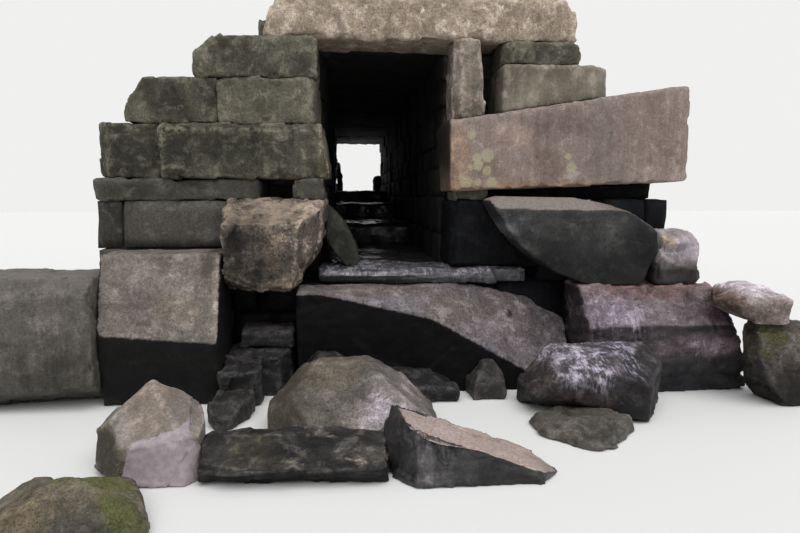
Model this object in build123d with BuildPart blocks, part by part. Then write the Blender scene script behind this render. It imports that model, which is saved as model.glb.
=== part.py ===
"""Dry-laid stone culvert headwall with its box barrel and outfall apron.

The frame is in millimetres. The origin lies under the middle of the waterway, in the plane of
the headwall's face, at the level where the lowest stones meet the pool. X runs to the right,
Y runs into the bank along the barrel, and Z is up.
"""

import os
from typing import NamedTuple

from build123d import *

# Waterway
opening_width = 1000.0

# Headwall footings, and the depth of the courses that stand on them
footing_setback = 40.0
course_depth = 600.0
left_footing_width = 735.0
right_footing_width = 1860.0

# Sill across the mouth, and the ledge lying on it
sill_height = 800.0
sill_depth = 370.0
sill_left_reach = 200.0
sill_length = 2180.0
ledge_rise = 120.0
ledge_left_reach = 50.0
ledge_right_gap = 120.0
ledge_nose = 100.0

# Left abutment, from its foot to the underside of the roof
left_wall_width = 1015.0
left_bearing_height = 670.0
left_bearing_nose = 420.0
left_bearing_proud = 10.0
left_bearing_break_width = 260.0
left_bearing_break_height = 225.0
left_bearing_break_drop = 200.0
left_pinner_width = 240.0
left_pinner_height = 170.0
left_pinner_depth = 380.0
left_packing_gap = 250.0
left_course_width = 1310.0
left_course_height = 430.0
left_course_proud = 60.0
left_end_setback = 60.0
left_upper_width = 760.0
left_upper_height = 350.0
left_upper_setback = 40.0
left_back_width = 720.0
left_top_width = 940.0
left_top_height = 320.0

# Right abutment, from the ledge to the underside of the roof
right_jamb_width = 740.0
right_jamb_height = 550.0
right_jamb_setback = 80.0
right_jamb_inset = 30.0
right_wall_width = 1090.0
right_pinner_inset = 20.0
right_pinner_width = 280.0
right_pinner_depth = 300.0
right_block_length = 2060.0
right_block_lift = 70.0
right_block_height = 560.0
right_bed_climb = 95.0
right_top_climb = 320.0
right_upright_inset = 50.0
right_upright_width = 260.0
right_upright_depth = 370.0
right_upper_gap = 140.0
right_upper_width = 900.0
right_packing_width = 640.0
right_packing_height = 185.0

# Lintel over the mouth
lintel_left_bearing = 450.0
lintel_length = 2500.0
lintel_height = 420.0
lintel_setback = 60.0

# Barrel behind the headwall
barrel_length = 9760.0
barrel_wall_thickness = 600.0
roof_bearing = 560.0
roof_thickness = 300.0
roof_slab_count = 5
roof_joint = 10.0
roof_unevenness = 50.0
bed_step_count = 4
bed_step_rise = 230.0

# Stones that narrow the far mouth of the barrel
end_stone_depth = 450.0
left_end_stone_width = 130.0
left_end_stone_height = 700.0
right_end_stone_width = 160.0
right_end_stone_height = 370.0

# Slab fallen against the left jamb
leaning_slab_height = 520.0
leaning_slab_length = 270.0
leaning_slab_thickness = 85.0
leaning_slab_setback = 240.0
leaning_slab_depth = 380.0

# Left wing wall
wing_width = 845.0
wing_height = 1090.0
wing_nose = 590.0
wing_end_width = 950.0
wing_end_height = 940.0
wing_end_nose = 660.0

# Right sill stone, whose front edge is bevelled and whose right end tapers
right_sill_length = 1340.0
right_sill_rise = 10.0
right_sill_depth = 590.0
right_sill_shoulder = 540.0
right_sill_bevel = 250.0

# Curved stone that stands on the right sill stone
curved_stone_left = 780.0
curved_stone_length = 1340.0
curved_stone_height = 690.0
curved_stone_depth = 380.0

# Bank stones beside the right sill stone
bank_upper_width = 400.0
bank_upper_height = 420.0
bank_lower_lap = 240.0
bank_lower_width = 450.0
bank_lower_height = 590.0
bank_lower_depth = 370.0
bank_cap_width = 450.0
bank_cap_height = 255.0
bank_cap_overhang = 180.0
bank_cap_setback = 60.0
bank_cap_lap = 170.0

# Stones packed under the left bearing block, and in front of them
footing_stone_width = 495.0
footing_stone_height = 340.0
footing_cap_inset = 95.0
footing_cap_width = 400.0
footing_cap_height = 160.0
footing_cap_setback = 110.0
toe_stone_width = 290.0
toe_stone_height = 290.0
toe_stone_depth = 260.0
toe_slab_width = 250.0
toe_slab_height = 140.0
toe_slab_depth = 460.0

# Apron below the sill
left_packing_inset = 40.0
left_packing_width = 430.0
left_packing_height_low = 350.0
right_packing_gap = 170.0
right_packing_width_low = 560.0
right_packing_height_low = 200.0
round_boulder_left = -840.0
round_boulder_width = 1090.0
round_boulder_depth = 900.0
round_boulder_height = 430.0
round_boulder_gap = 270.0
wedge_boulder_lap = 360.0
wedge_boulder_width = 930.0
wedge_boulder_depth = 480.0
wedge_boulder_height = 320.0
flat_ledge_width = 1000.0
flat_ledge_depth = 430.0
flat_ledge_height = 190.0
pale_boulder_width = 600.0
pale_boulder_depth = 550.0
pale_boulder_height = 475.0
pale_boulder_nose = 340.0
moss_boulder_reach = 280.0
moss_boulder_width = 785.0
moss_boulder_depth = 700.0
moss_boulder_height = 230.0
fall_boulder_left = 930.0
fall_boulder_width = 985.0
fall_boulder_depth = 600.0
fall_boulder_height = 420.0
fall_undercut_height = 225.0
fall_undercut_reach = 800.0
fall_undercut_depth = 450.0
fall_undercut_drop = 190.0
low_boulder_inset = 50.0
low_boulder_width = 640.0
low_boulder_nose = 410.0
low_boulder_lap = 150.0
low_boulder_height = 105.0
toe_boulder_left = 600.0
toe_boulder_width = 260.0
toe_boulder_depth = 240.0
toe_boulder_height = 260.0

# Places worked out from the sizes above
jamb_left = -opening_width / 2
jamb_right = opening_width / 2
wall_back = footing_setback + course_depth
barrel_end = wall_back + barrel_length
sill_front = footing_setback - sill_depth
sill_left = jamb_left - sill_left_reach
sill_right = sill_left + sill_length
ledge_left = jamb_left - ledge_left_reach
ledge_top = sill_height + ledge_rise

left_footing_end = jamb_left - left_footing_width
left_wall_end = left_footing_end - left_wall_width
left_shoulder = sill_height + left_bearing_height
left_bearing_right = jamb_left + left_bearing_proud
left_pinner_top = left_shoulder + left_pinner_height
left_course_right = jamb_left + left_course_proud
left_course_left = left_course_right - left_course_width
left_course_top = left_pinner_top + left_course_height
left_upper_right = jamb_left - left_upper_setback
left_upper_left = left_upper_right - left_upper_width
left_upper_top = left_course_top + left_upper_height
roof_height = left_upper_top + left_top_height
wing_left = left_footing_end - wing_width

right_jamb_left = jamb_right + right_jamb_inset
right_jamb_right = right_jamb_left + right_jamb_width
right_jamb_top = ledge_top + right_jamb_height
right_wall_right = right_jamb_right + right_wall_width
right_pinner_left = right_jamb_left + right_pinner_inset
right_pinner_back = right_jamb_setback + right_pinner_depth
right_block_left = jamb_right - left_bearing_proud
right_block_right = right_block_left + right_block_length
right_block_foot = right_jamb_top + right_block_lift
right_block_head = right_block_foot + right_block_height
right_upright_left = right_block_left + right_upright_inset
right_upper_left = right_upright_left + right_upright_width + right_upper_gap
right_upper_top = roof_height - right_packing_height
right_sill_front = footing_setback - right_sill_depth
right_sill_right = sill_right + right_sill_length
right_sill_top = sill_height + right_sill_rise
curved_stone_front = right_jamb_setback - curved_stone_depth
curved_stone_right = curved_stone_left + curved_stone_length
curved_stone_head = right_sill_top + curved_stone_height
bank_lower_left = right_sill_right - bank_lower_lap

boulder_back = sill_front - round_boulder_gap
boulder_front = boulder_back - round_boulder_depth
wedge_left = round_boulder_left + round_boulder_width - wedge_boulder_lap
flat_left = wedge_left - flat_ledge_width
pale_front = boulder_front - pale_boulder_nose
fall_front = right_sill_front - fall_boulder_depth
low_left = fall_boulder_left - low_boulder_inset


class Stone(NamedTuple):
    """The squared space that a stone is cut from, as the places of its six faces."""

    left: float
    right: float
    front: float
    back: float
    bottom: float
    top: float

    def at(self, across, deep, up):
        """A point of the space, from shares of its width, its depth and its height."""
        return Vector(
            self.left + across * (self.right - self.left),
            self.front + deep * (self.back - self.front),
            self.bottom + up * (self.top - self.bottom),
        )


def squared(left, right, front, back, bottom, top):
    """Adds a squared stone to the piece being built, and returns its space."""
    with Locations(((left + right) / 2, (front + back) / 2, (bottom + top) / 2)):
        Box(right - left, back - front, top - bottom)
    return Stone(left, right, front, back, bottom, top)


def trim(stone, first, second, third):
    """Cuts a stone by the plane through three points, and keeps the side with its middle."""
    normal = (second - first).cross(third - first)
    if normal.dot(stone.at(0.5, 0.5, 0.5) - first) > 0:
        normal = -normal
    split(bisect_by=Plane(origin=first, z_dir=normal), keep=Keep.BOTTOM)


def knock_off(stone, first, second, third):
    """Breaks a stone along the plane through three points, given as shares of its space."""
    trim(stone, stone.at(*first), stone.at(*second), stone.at(*third))


def face_point(point):
    """The place of a point on a sketch that stands upright, facing the front."""
    return (point.X, point.Z)


def finish(built, label):
    """Names a finished piece and writes its file."""
    built.part.label = label
    export_step(built.part, f"parts/{label}.step")


os.makedirs("parts", exist_ok=True)

# Footings and the bed between them
with BuildPart() as left_footing:
    squared(left_footing_end, jamb_left, footing_setback, wall_back, 0, sill_height)
finish(left_footing, "left_footing")

with BuildPart() as right_footing:
    squared(jamb_right, jamb_right + right_footing_width, footing_setback, wall_back, 0, sill_height)
finish(right_footing, "right_footing")

with BuildPart() as mouth_bed:
    squared(jamb_left, jamb_right, footing_setback, wall_back, 0, sill_height)
finish(mouth_bed, "mouth_bed")

# Sill, broken to a slope along its front, and the ledge that lies on it
with BuildPart() as sill:
    s = squared(sill_left, sill_right, sill_front, footing_setback, 0, sill_height)
    knock_off(s, (0.12, 0, 0.975), (0.46, 0, 0.755), (0.46, 0.68, 1))
    knock_off(s, (0.46, 0, 0.755), (0.65, 0, 0.46), (0.65, 0.75, 1))
    knock_off(s, (0.9, 0, 1), (1, 0, 0.9), (0.9, 1, 1))
finish(sill, "sill")

with BuildPart() as ledge:
    s = squared(
        ledge_left,
        right_jamb_right - ledge_right_gap,
        footing_setback - ledge_nose,
        wall_back,
        sill_height,
        ledge_top,
    )
    knock_off(s, (1, 0.13, 0), (0.7, 0, 0), (1, 0.13, 1))
    knock_off(s, (0, 0.09, 1), (1, 0.06, 1), (0, 0, 0.6))
finish(ledge, "ledge")

# Left abutment
with BuildPart() as left_wall_block:
    squared(left_wall_end, left_footing_end, footing_setback, wall_back, 0, left_shoulder)
finish(left_wall_block, "left_wall_block")

with BuildPart() as left_bearing_block:
    s = squared(
        left_footing_end,
        left_bearing_right,
        footing_setback - left_bearing_nose,
        wall_back,
        sill_height,
        left_shoulder,
    )
    knock_off(s, (0, 0, 0.75), (1, 0, 0.77), (0, 0.42, 1))
    knock_off(s, (0, 0, 0.18), (0.36, 0, 0), (0, 0.25, 0))
    knock_off(s, (0.8, 0, 1), (0.68, 0, 0), (1, 0.25, 1))
    into_bank = Vector(0, course_depth, 0)
    break_foot = Vector(left_bearing_right - left_bearing_break_width, s.front, sill_height)
    break_waist = break_foot + Vector(left_bearing_break_drop, 0, left_bearing_break_height)
    break_head = s.at(1, 0, 0.68)
    trim(s, break_foot, break_waist, break_foot + into_bank)
    trim(s, break_waist, break_head, break_waist + into_bank)
finish(left_bearing_block, "left_bearing_block")

with BuildPart() as left_pinner:
    pinner_left = left_bearing_right - left_pinner_width
    s = squared(pinner_left, left_bearing_right, 0, left_pinner_depth, left_shoulder, left_pinner_top)
    knock_off(s, (0, 0.11, 0), (0.25, 0, 0), (0, 0.11, 1))
finish(left_pinner, "left_pinner")

with BuildPart() as left_packing:
    packing_right = pinner_left - left_packing_gap
    squared(left_wall_end, packing_right, footing_setback, wall_back, left_shoulder, left_pinner_top)
finish(left_packing, "left_packing")

with BuildPart() as left_course_block:
    s = squared(left_course_left, left_course_right, 0, wall_back, left_pinner_top, left_course_top)
    knock_off(s, (0.95, 0, 1), (1, 0, 0.14), (0.95, 1, 1))
    knock_off(s, (0, 0.08, 1), (1, 0.06, 1), (0, 0, 0.86))
finish(left_course_block, "left_course_block")

with BuildPart() as left_end_block:
    s = squared(
        left_wall_end,
        left_course_left,
        left_end_setback,
        wall_back,
        left_pinner_top,
        left_course_top,
    )
    knock_off(s, (0, 0.21, 1), (0.18, 0, 1), (0, 0.21, 0))
finish(left_end_block, "left_end_block")

with BuildPart() as left_upper_block:
    s = squared(
        left_upper_left,
        left_upper_right,
        footing_setback,
        wall_back,
        left_course_top,
        left_upper_top,
    )
    knock_off(s, (1, 0.1, 1), (0.93, 0, 1), (1, 0.1, 0))
finish(left_upper_block, "left_upper_block")

with BuildPart() as left_back_block:
    s = squared(
        left_upper_left - left_back_width,
        left_upper_left,
        left_end_setback,
        wall_back,
        left_course_top,
        left_upper_top,
    )
    knock_off(s, (0.21, 0, 1), (0, 0, 0.35), (0.21, 1, 1))
finish(left_back_block, "left_back_block")

with BuildPart() as left_top_block:
    s = squared(
        left_upper_right - left_top_width,
        left_upper_right,
        footing_setback,
        wall_back,
        left_upper_top,
        roof_height,
    )
    knock_off(s, (0.23, 0, 1), (0, 0, 0.56), (0.23, 1, 1))
finish(left_top_block, "left_top_block")

# Right abutment
with BuildPart() as right_jamb_block:
    s = squared(
        right_jamb_left,
        right_jamb_right,
        right_jamb_setback,
        wall_back,
        ledge_top,
        right_jamb_top,
    )
    knock_off(s, (0, 0.12, 1), (0.11, 0, 1), (0, 0.09, 0))
finish(right_jamb_block, "right_jamb_block")

with BuildPart() as right_wall_block:
    squared(
        right_jamb_right,
        right_wall_right,
        right_jamb_setback,
        wall_back,
        sill_height,
        right_jamb_top,
    )
finish(right_wall_block, "right_wall_block")

# The long right block lies on a rising bed, and its upper bed rises more steeply
lower_bed = [
    Vector(right_block_left, 0, right_block_foot),
    Vector(right_block_left, wall_back, right_block_foot),
    Vector(right_block_right, 0, right_block_foot + right_bed_climb),
]
upper_bed = [
    Vector(right_block_left, 0, right_block_head),
    Vector(right_block_left, wall_back, right_block_head),
    Vector(right_block_right, 0, right_block_head + right_top_climb),
]

with BuildPart() as right_pinner:
    s = squared(
        right_pinner_left,
        right_pinner_left + right_pinner_width,
        right_jamb_setback,
        right_pinner_back,
        right_jamb_top,
        right_block_foot + right_bed_climb / 3,
    )
    trim(s, *lower_bed)
finish(right_pinner, "right_pinner")

with BuildPart() as right_wedge:
    s = squared(
        right_pinner_left,
        right_wall_right,
        right_pinner_back,
        wall_back,
        right_jamb_top,
        right_block_foot + right_bed_climb,
    )
    trim(s, *lower_bed)
finish(right_wedge, "right_wedge")

with BuildPart() as right_course_block:
    s = squared(
        right_block_left,
        right_block_right,
        0,
        wall_back,
        right_block_foot,
        right_block_head + right_top_climb,
    )
    trim(s, *lower_bed)
    trim(s, *upper_bed)
    knock_off(s, (1, 0.19, 0), (0.93, 0, 0), (1, 0.19, 1))
    knock_off(s, (0, 0, 0.6), (0.014, 0, 0), (0, 1, 0.6))
finish(right_course_block, "right_course_block")

with BuildPart() as right_upright:
    s = squared(
        right_upright_left,
        right_upright_left + right_upright_width,
        footing_setback,
        footing_setback + right_upright_depth,
        right_block_head,
        roof_height,
    )
    trim(s, *upper_bed)
    knock_off(s, (0.8, 0, 1), (1, 0, 0.1), (0.8, 1, 1))
    knock_off(s, (0, 0.16, 1), (0.23, 0, 1), (0, 0.16, 0))
finish(right_upright, "right_upright")

with BuildPart() as right_upper_block:
    s = squared(
        right_upper_left,
        right_upper_left + right_upper_width,
        footing_setback,
        wall_back,
        right_block_head,
        right_upper_top,
    )
    trim(s, *upper_bed)
    knock_off(s, (1, 0.22, 0), (0.82, 0, 0), (1, 0.22, 1))
finish(right_upper_block, "right_upper_block")

with BuildPart() as right_packing:
    s = squared(
        right_upper_left,
        right_upper_left + right_packing_width,
        right_jamb_setback,
        wall_back,
        right_upper_top,
        roof_height,
    )
    knock_off(s, (0, 0.13, 0), (0.14, 0, 0), (0, 0.13, 1))
finish(right_packing, "right_packing")

# Lintel
with BuildPart() as lintel:
    lintel_left = jamb_left - lintel_left_bearing
    s = squared(
        lintel_left,
        lintel_left + lintel_length,
        footing_setback + lintel_setback,
        wall_back,
        roof_height,
        roof_height + lintel_height,
    )
    knock_off(s, (0, 0.09, 1), (1, 0.13, 1), (0, 0, 0.83))
    knock_off(s, (0.05, 0, 1), (0, 0, 0.14), (0.065, 1, 1))
    knock_off(s, (0.94, 0, 1), (1, 0, 0.5), (0.96, 1, 1))
finish(lintel, "lintel")

# Barrel: two side walls, a row of roof slabs across them and a bed that climbs in steps
with BuildPart() as barrel_left_wall:
    squared(jamb_left - barrel_wall_thickness, jamb_left, wall_back, barrel_end, 0, roof_height)
finish(barrel_left_wall, "barrel_left_wall")

with BuildPart() as barrel_right_wall:
    squared(jamb_right, jamb_right + barrel_wall_thickness, wall_back, barrel_end, 0, roof_height)
finish(barrel_right_wall, "barrel_right_wall")

slab_pitch = barrel_length / roof_slab_count
with BuildPart() as roof_slabs:
    for slab in range(roof_slab_count):
        slab_front = wall_back + slab * slab_pitch
        slab_recess = roof_unevenness * (slab % 2)
        squared(
            jamb_left - roof_bearing - slab_recess,
            jamb_right + roof_bearing - slab_recess,
            slab_front + roof_joint,
            slab_front + slab_pitch,
            roof_height,
            roof_height + roof_thickness - slab_recess,
        )
finish(roof_slabs, "roof_slabs")

step_pitch = barrel_length / bed_step_count
for step in range(bed_step_count):
    step_front = wall_back + step * step_pitch
    step_top = ledge_top + step * bed_step_rise
    with BuildPart() as bed_step:
        squared(jamb_left, jamb_right, step_front, step_front + step_pitch, 0, step_top)
    finish(bed_step, f"bed_step_{step + 1}")

with BuildPart() as barrel_end_left_stone:
    s = squared(
        jamb_left,
        jamb_left + left_end_stone_width,
        barrel_end - end_stone_depth,
        barrel_end,
        step_top,
        step_top + left_end_stone_height,
    )
    knock_off(s, (1, 0, 0.2), (0.45, 0, 1), (1, 1, 0.1))
    knock_off(s, (0, 0, 0.8), (1, 0, 0.8), (0, 0.5, 1))
finish(barrel_end_left_stone, "barrel_end_left_stone")

with BuildPart() as barrel_end_right_stone:
    s = squared(
        jamb_right - right_end_stone_width,
        jamb_right,
        barrel_end - end_stone_depth,
        barrel_end,
        step_top,
        step_top + right_end_stone_height,
    )
    knock_off(s, (0, 0, 0.9), (0.3, 0, 1), (0, 1, 0.85))
    knock_off(s, (0, 0.2, 0), (0.3, 0, 0), (0, 0.2, 1))
finish(barrel_end_right_stone, "barrel_end_right_stone")

# Slab fallen against the left jamb
with BuildPart() as leaning_slab:
    s = Stone(
        left_bearing_right,
        left_bearing_right + leaning_slab_length,
        leaning_slab_setback,
        leaning_slab_setback + leaning_slab_depth,
        ledge_top,
        ledge_top + leaning_slab_height,
    )
    point = face_point(s.at(0, 0, 1))
    bulge = face_point(s.at(0.65, 0, 0.62))
    toe_right = face_point(s.at(1, 0, 0.08))
    foot = face_point(s.at(0.9, 0, 0))
    toe_left = (foot[0] - leaning_slab_thickness, foot[1])
    heel = face_point(s.at(0, 0, 0.44))
    with BuildSketch(Plane.XZ.offset(-leaning_slab_setback)) as profile:
        with BuildLine():
            ThreePointArc(point, bulge, toe_right)
            Polyline(toe_right, foot, toe_left, heel, point)
        make_face()
    extrude(amount=-leaning_slab_depth)
finish(leaning_slab, "leaning_slab")

# Left wing wall
with BuildPart() as wing_block:
    s = squared(
        wing_left,
        left_footing_end,
        footing_setback - wing_nose,
        footing_setback,
        0,
        wing_height,
    )
    knock_off(s, (0, 0, 0.48), (1, 0, 0.41), (0, 0.27, 1))
    knock_off(s, (0, 0, 0.46), (1, 0, 0.39), (0, 0.13, 0))
finish(wing_block, "wing_block")

with BuildPart() as wing_end_block:
    s = squared(
        wing_left - wing_end_width,
        wing_left,
        footing_setback - wing_end_nose,
        footing_setback,
        0,
        wing_end_height,
    )
    knock_off(s, (0, 0, 0.13), (1, 0, 0.2), (0, 0.36, 0))
    knock_off(s, (0, 0.17, 1), (1, 0.14, 1), (0, 0, 0.88))
    knock_off(s, (0, 0.2, 0), (0.1, 0, 0), (0, 0.2, 1))
finish(wing_end_block, "wing_end_block")

# Right sill stone, whose bevel also carries the back of the bank's cap stone
right_sill_slope = [
    Vector(sill_right, right_sill_front, right_sill_shoulder),
    Vector(right_sill_right, right_sill_front, right_sill_shoulder),
    Vector(sill_right, right_sill_front + right_sill_bevel, right_sill_top),
]
with BuildPart() as right_sill_stone:
    s = squared(sill_right, right_sill_right, right_sill_front, footing_setback, 0, right_sill_top)
    trim(s, *right_sill_slope)
    knock_off(s, (0.78, 0, 1), (1, 0, 0.5), (0.78, 1, 1))
    knock_off(s, (0.85, 0, 0.7), (0.98, 0, 0), (0.9, 1, 0.7))
    knock_off(s, (0, 0, 0.3), (1, 0, 0.36), (0, 0.12, 0))
finish(right_sill_stone, "right_sill_stone")

# Curved stone, standing on its foot on the right sill stone
with BuildPart() as curved_stone:
    s = Stone(
        curved_stone_left,
        curved_stone_right,
        curved_stone_front,
        right_jamb_setback,
        right_sill_top,
        curved_stone_head,
    )
    tip = face_point(s.at(0, 0, 0.96))
    shoulder = face_point(s.at(0.07, 0, 1))
    crown = face_point(s.at(0.51, 0, 0.98))
    brow = face_point(s.at(0.8, 0, 0.84))
    cheek = face_point(s.at(0.99, 0, 0.6))
    heel = face_point(s.at(1, 0, 0.38))
    foot_right = face_point(s.at(0.91, 0, 0))
    foot_left = face_point(s.at(0.6, 0, 0))
    belly = face_point(s.at(0.25, 0, 0.33))
    with BuildSketch(Plane.XZ.offset(-curved_stone_front)) as outline:
        with BuildLine():
            Polyline(tip, shoulder, crown)
            ThreePointArc(crown, brow, cheek)
            Polyline(cheek, heel, foot_right, foot_left)
            ThreePointArc(foot_left, belly, tip)
        make_face()
    extrude(amount=-curved_stone_depth)
    knock_off(s, (0, 0, 0.87), (0.64, 0, 0.85), (0, 0.39, 1))
finish(curved_stone, "curved_stone")

# Bank stones at the right end
with BuildPart() as bank_upper_stone:
    s = squared(
        curved_stone_right,
        curved_stone_right + bank_upper_width,
        curved_stone_front,
        right_jamb_setback,
        right_sill_top,
        right_sill_top + bank_upper_height,
    )
    knock_off(s, (0, 0, 0.62), (0.18, 0, 1), (0, 1, 0.7))
    knock_off(s, (1, 0, 0.6), (0.82, 0, 1), (1, 1, 0.5))
    knock_off(s, (0, 0, 0.84), (1, 0, 0.8), (0, 0.4, 1))
    knock_off(s, (1, 0.3, 0), (0.8, 0, 0), (1, 0.35, 1))
    knock_off(s, (0, 0.12, 0), (0.1, 0, 0), (0, 0.1, 1))
finish(bank_upper_stone, "bank_upper_stone")

with BuildPart() as bank_lower_stone:
    s = squared(
        bank_lower_left,
        bank_lower_left + bank_lower_width,
        right_sill_front - bank_lower_depth,
        right_sill_front,
        0,
        bank_lower_height,
    )
    knock_off(s, (0, 0, 0.7), (0.17, 0, 1), (0, 1, 0.84))
    knock_off(s, (0, 0, 0.72), (1, 0, 0.78), (0, 0.4, 1))
    knock_off(s, (0, 0, 0.62), (0.5, 0, 0), (0, 1, 0.5))
    knock_off(s, (1, 0.35, 0), (0.8, 0, 0), (1, 0.41, 1))
    knock_off(s, (0, 0.45, 0), (0.25, 1, 0), (0, 0.45, 1))
finish(bank_lower_stone, "bank_lower_stone")

with BuildPart() as bank_cap_stone:
    cap_left = bank_lower_left - bank_cap_overhang
    s = squared(
        cap_left,
        cap_left + bank_cap_width,
        right_sill_front - bank_lower_depth + bank_cap_setback,
        right_sill_front + bank_cap_lap,
        bank_lower_height,
        bank_lower_height + bank_cap_height,
    )
    trim(s, *right_sill_slope)
    knock_off(s, (0, 0, 0.5), (0.42, 0, 0.06), (0, 1, 0.5))
    knock_off(s, (0, 0, 0.62), (1, 0, 0.7), (0, 0.42, 1))
    knock_off(s, (1, 0, 0.7), (0.84, 0, 1), (1, 1, 0.6))
    knock_off(s, (0, 0, 0.56), (0.4, 0, 1), (0, 1, 0.6))
    knock_off(s, (0, 0.2, 0), (0.4, 0, 0), (0, 0.2, 1))
    knock_off(s, (0, 0.55, 0), (0.25, 1, 0), (0, 0.55, 1))
finish(bank_cap_stone, "bank_cap_stone")

# Stones packed under the left bearing block, and in front of them
with BuildPart() as footing_stone:
    s = squared(
        left_footing_end,
        left_footing_end + footing_stone_width,
        sill_front,
        footing_setback,
        0,
        footing_stone_height,
    )
    knock_off(s, (0, 0, 0.9), (1, 0, 0.87), (0, 0.19, 1))
    knock_off(s, (1, 0.3, 0), (0.81, 0, 0), (1, 0.3, 1))
finish(footing_stone, "footing_stone")

with BuildPart() as footing_cap:
    cap_left = left_footing_end + footing_cap_inset
    s = squared(
        cap_left,
        cap_left + footing_cap_width,
        sill_front + footing_cap_setback,
        footing_setback,
        footing_stone_height,
        footing_stone_height + footing_cap_height,
    )
    knock_off(s, (0, 0, 0.81), (1, 0, 0.76), (0, 0.18, 1))
finish(footing_cap, "footing_cap")

with BuildPart() as toe_stone:
    toe_front = sill_front - toe_stone_depth
    s = squared(
        left_footing_end,
        left_footing_end + toe_stone_width,
        toe_front,
        sill_front,
        0,
        toe_stone_height,
    )
    knock_off(s, (0, 0, 0.9), (1, 0, 0.86), (0, 0.35, 1))
    knock_off(s, (1, 0.2, 0), (0.9, 0, 0), (1, 0.2, 1))
finish(toe_stone, "toe_stone")

with BuildPart() as toe_slab:
    s = squared(
        left_footing_end,
        left_footing_end + toe_slab_width,
        toe_front - toe_slab_depth,
        toe_front,
        0,
        toe_slab_height,
    )
    knock_off(s, (0, 0, 0.6), (1, 0, 0.5), (0, 0.3, 1))
    knock_off(s, (1, 0.5, 0), (0.6, 0, 0), (1, 0.5, 1))
    knock_off(s, (0, 0.2, 0), (0.3, 0, 0), (0, 0.2, 1))
finish(toe_slab, "toe_slab")

# Apron below the sill
with BuildPart() as left_packing_stone:
    left_packing_left = sill_left + left_packing_inset
    left_packing_right = left_packing_left + left_packing_width
    s = squared(
        left_packing_left,
        left_packing_right,
        boulder_back,
        sill_front,
        0,
        left_packing_height_low,
    )
    knock_off(s, (0, 0, 0.72), (1, 0, 0.8), (0, 0.5, 1))
    knock_off(s, (0, 0, 0.6), (0.35, 0, 1), (0, 1, 0.7))
    knock_off(s, (1, 0, 0.7), (0.7, 0, 1), (1, 1, 0.6))
finish(left_packing_stone, "left_packing_stone")

with BuildPart() as right_packing_stone:
    right_packing_left = left_packing_right + right_packing_gap
    s = squared(
        right_packing_left,
        right_packing_left + right_packing_width_low,
        boulder_back,
        sill_front,
        0,
        right_packing_height_low,
    )
    knock_off(s, (0, 0, 0.62), (1, 0, 0.5), (0, 0.6, 1))
    knock_off(s, (1, 0, 0.4), (0.6, 0, 1), (1, 1, 0.5))
finish(right_packing_stone, "right_packing_stone")

with BuildPart() as round_boulder:
    s = squared(
        round_boulder_left,
        round_boulder_left + round_boulder_width,
        boulder_front,
        boulder_back,
        0,
        round_boulder_height,
    )
    knock_off(s, (0, 0, 0.35), (0.3, 0, 1), (0, 1, 0.4))
    knock_off(s, (1, 0, 0.2), (0.6, 0, 1), (1, 1, 0.25))
    knock_off(s, (0, 0, 0.38), (1, 0, 0.34), (0, 0.52, 1))
    knock_off(s, (0, 1, 0.56), (1, 1, 0.5), (0, 0.72, 1))
    knock_off(s, (0, 0.33, 0), (0.25, 0, 0), (0, 0.52, 1))
    knock_off(s, (1, 0.3, 0), (0.8, 0, 0), (0.92, 0.5, 1))
    knock_off(s, (0, 0.75, 0), (0.18, 1, 0), (0.11, 0.69, 1))
    knock_off(s, (1, 0.72, 0), (0.86, 1, 0), (0.92, 0.69, 1))
finish(round_boulder, "round_boulder")

with BuildPart() as wedge_boulder:
    s = squared(
        wedge_left,
        wedge_left + wedge_boulder_width,
        boulder_front - wedge_boulder_depth,
        boulder_front,
        0,
        wedge_boulder_height,
    )
    knock_off(s, (0.12, 0, 1), (1, 0, 0.04), (0.12, 1, 0.92))
    knock_off(s, (0, 0, 0.35), (0.1, 0.25, 1), (0, 1, 0.6))
    knock_off(s, (0.13, 0, 0), (1, 0.05, 0), (0.1, 0.22, 1))
    knock_off(s, (0, 0.45, 0), (0.14, 0, 0), (0.1, 0.3, 1))
    knock_off(s, (1, 0.3, 0), (0.85, 0, 0), (1, 0.3, 1))
    knock_off(s, (1, 0.6, 0), (0.7, 1, 0), (0.9, 0.6, 1))
finish(wedge_boulder, "wedge_boulder")

with BuildPart() as flat_ledge:
    s = squared(
        flat_left,
        wedge_left,
        boulder_front - flat_ledge_depth,
        boulder_front,
        0,
        flat_ledge_height,
    )
    knock_off(s, (0, 0.05, 0.74), (1, 0.05, 0.5), (0, 0.5, 1))
    knock_off(s, (0, 0, 0.62), (1, 0, 0.36), (0, 0.28, 0))
    knock_off(s, (0, 0.2, 0), (0.2, 0, 0), (0, 0.2, 1))
    knock_off(s, (1, 1, 0.7), (0.7, 1, 1), (1, 0, 0.7))
finish(flat_ledge, "flat_ledge")

with BuildPart() as pale_boulder:
    s = squared(
        flat_left - pale_boulder_width,
        flat_left,
        pale_front,
        pale_front + pale_boulder_depth,
        0,
        pale_boulder_height,
    )
    knock_off(s, (0, 0, 0.42), (0.48, 0.64, 1), (0, 1, 0.5))
    knock_off(s, (1, 0, 0.55), (0.48, 0.64, 1), (1, 1, 0.6))
    knock_off(s, (0, 0, 0.36), (1, 0, 0.56), (0.48, 0.6, 1))
    knock_off(s, (0.48, 0.62, 1), (0.9, 0, 0.54), (1, 0.4, 0.57))
    knock_off(s, (0, 0, 0.16), (0.34, 0, 0), (0, 0.5, 0.08))
    knock_off(s, (0, 0.4, 0), (0.3, 0, 0), (0.2, 0.36, 1))
    knock_off(s, (1, 0.16, 0), (0.9, 0, 0), (1, 0.2, 1))
    knock_off(s, (1, 0.45, 0), (0.84, 1, 0), (1, 0.45, 1))
    knock_off(s, (1, 1, 0.25), (0, 1, 0.35), (1, 0.7, 1))
finish(pale_boulder, "pale_boulder")

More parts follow.
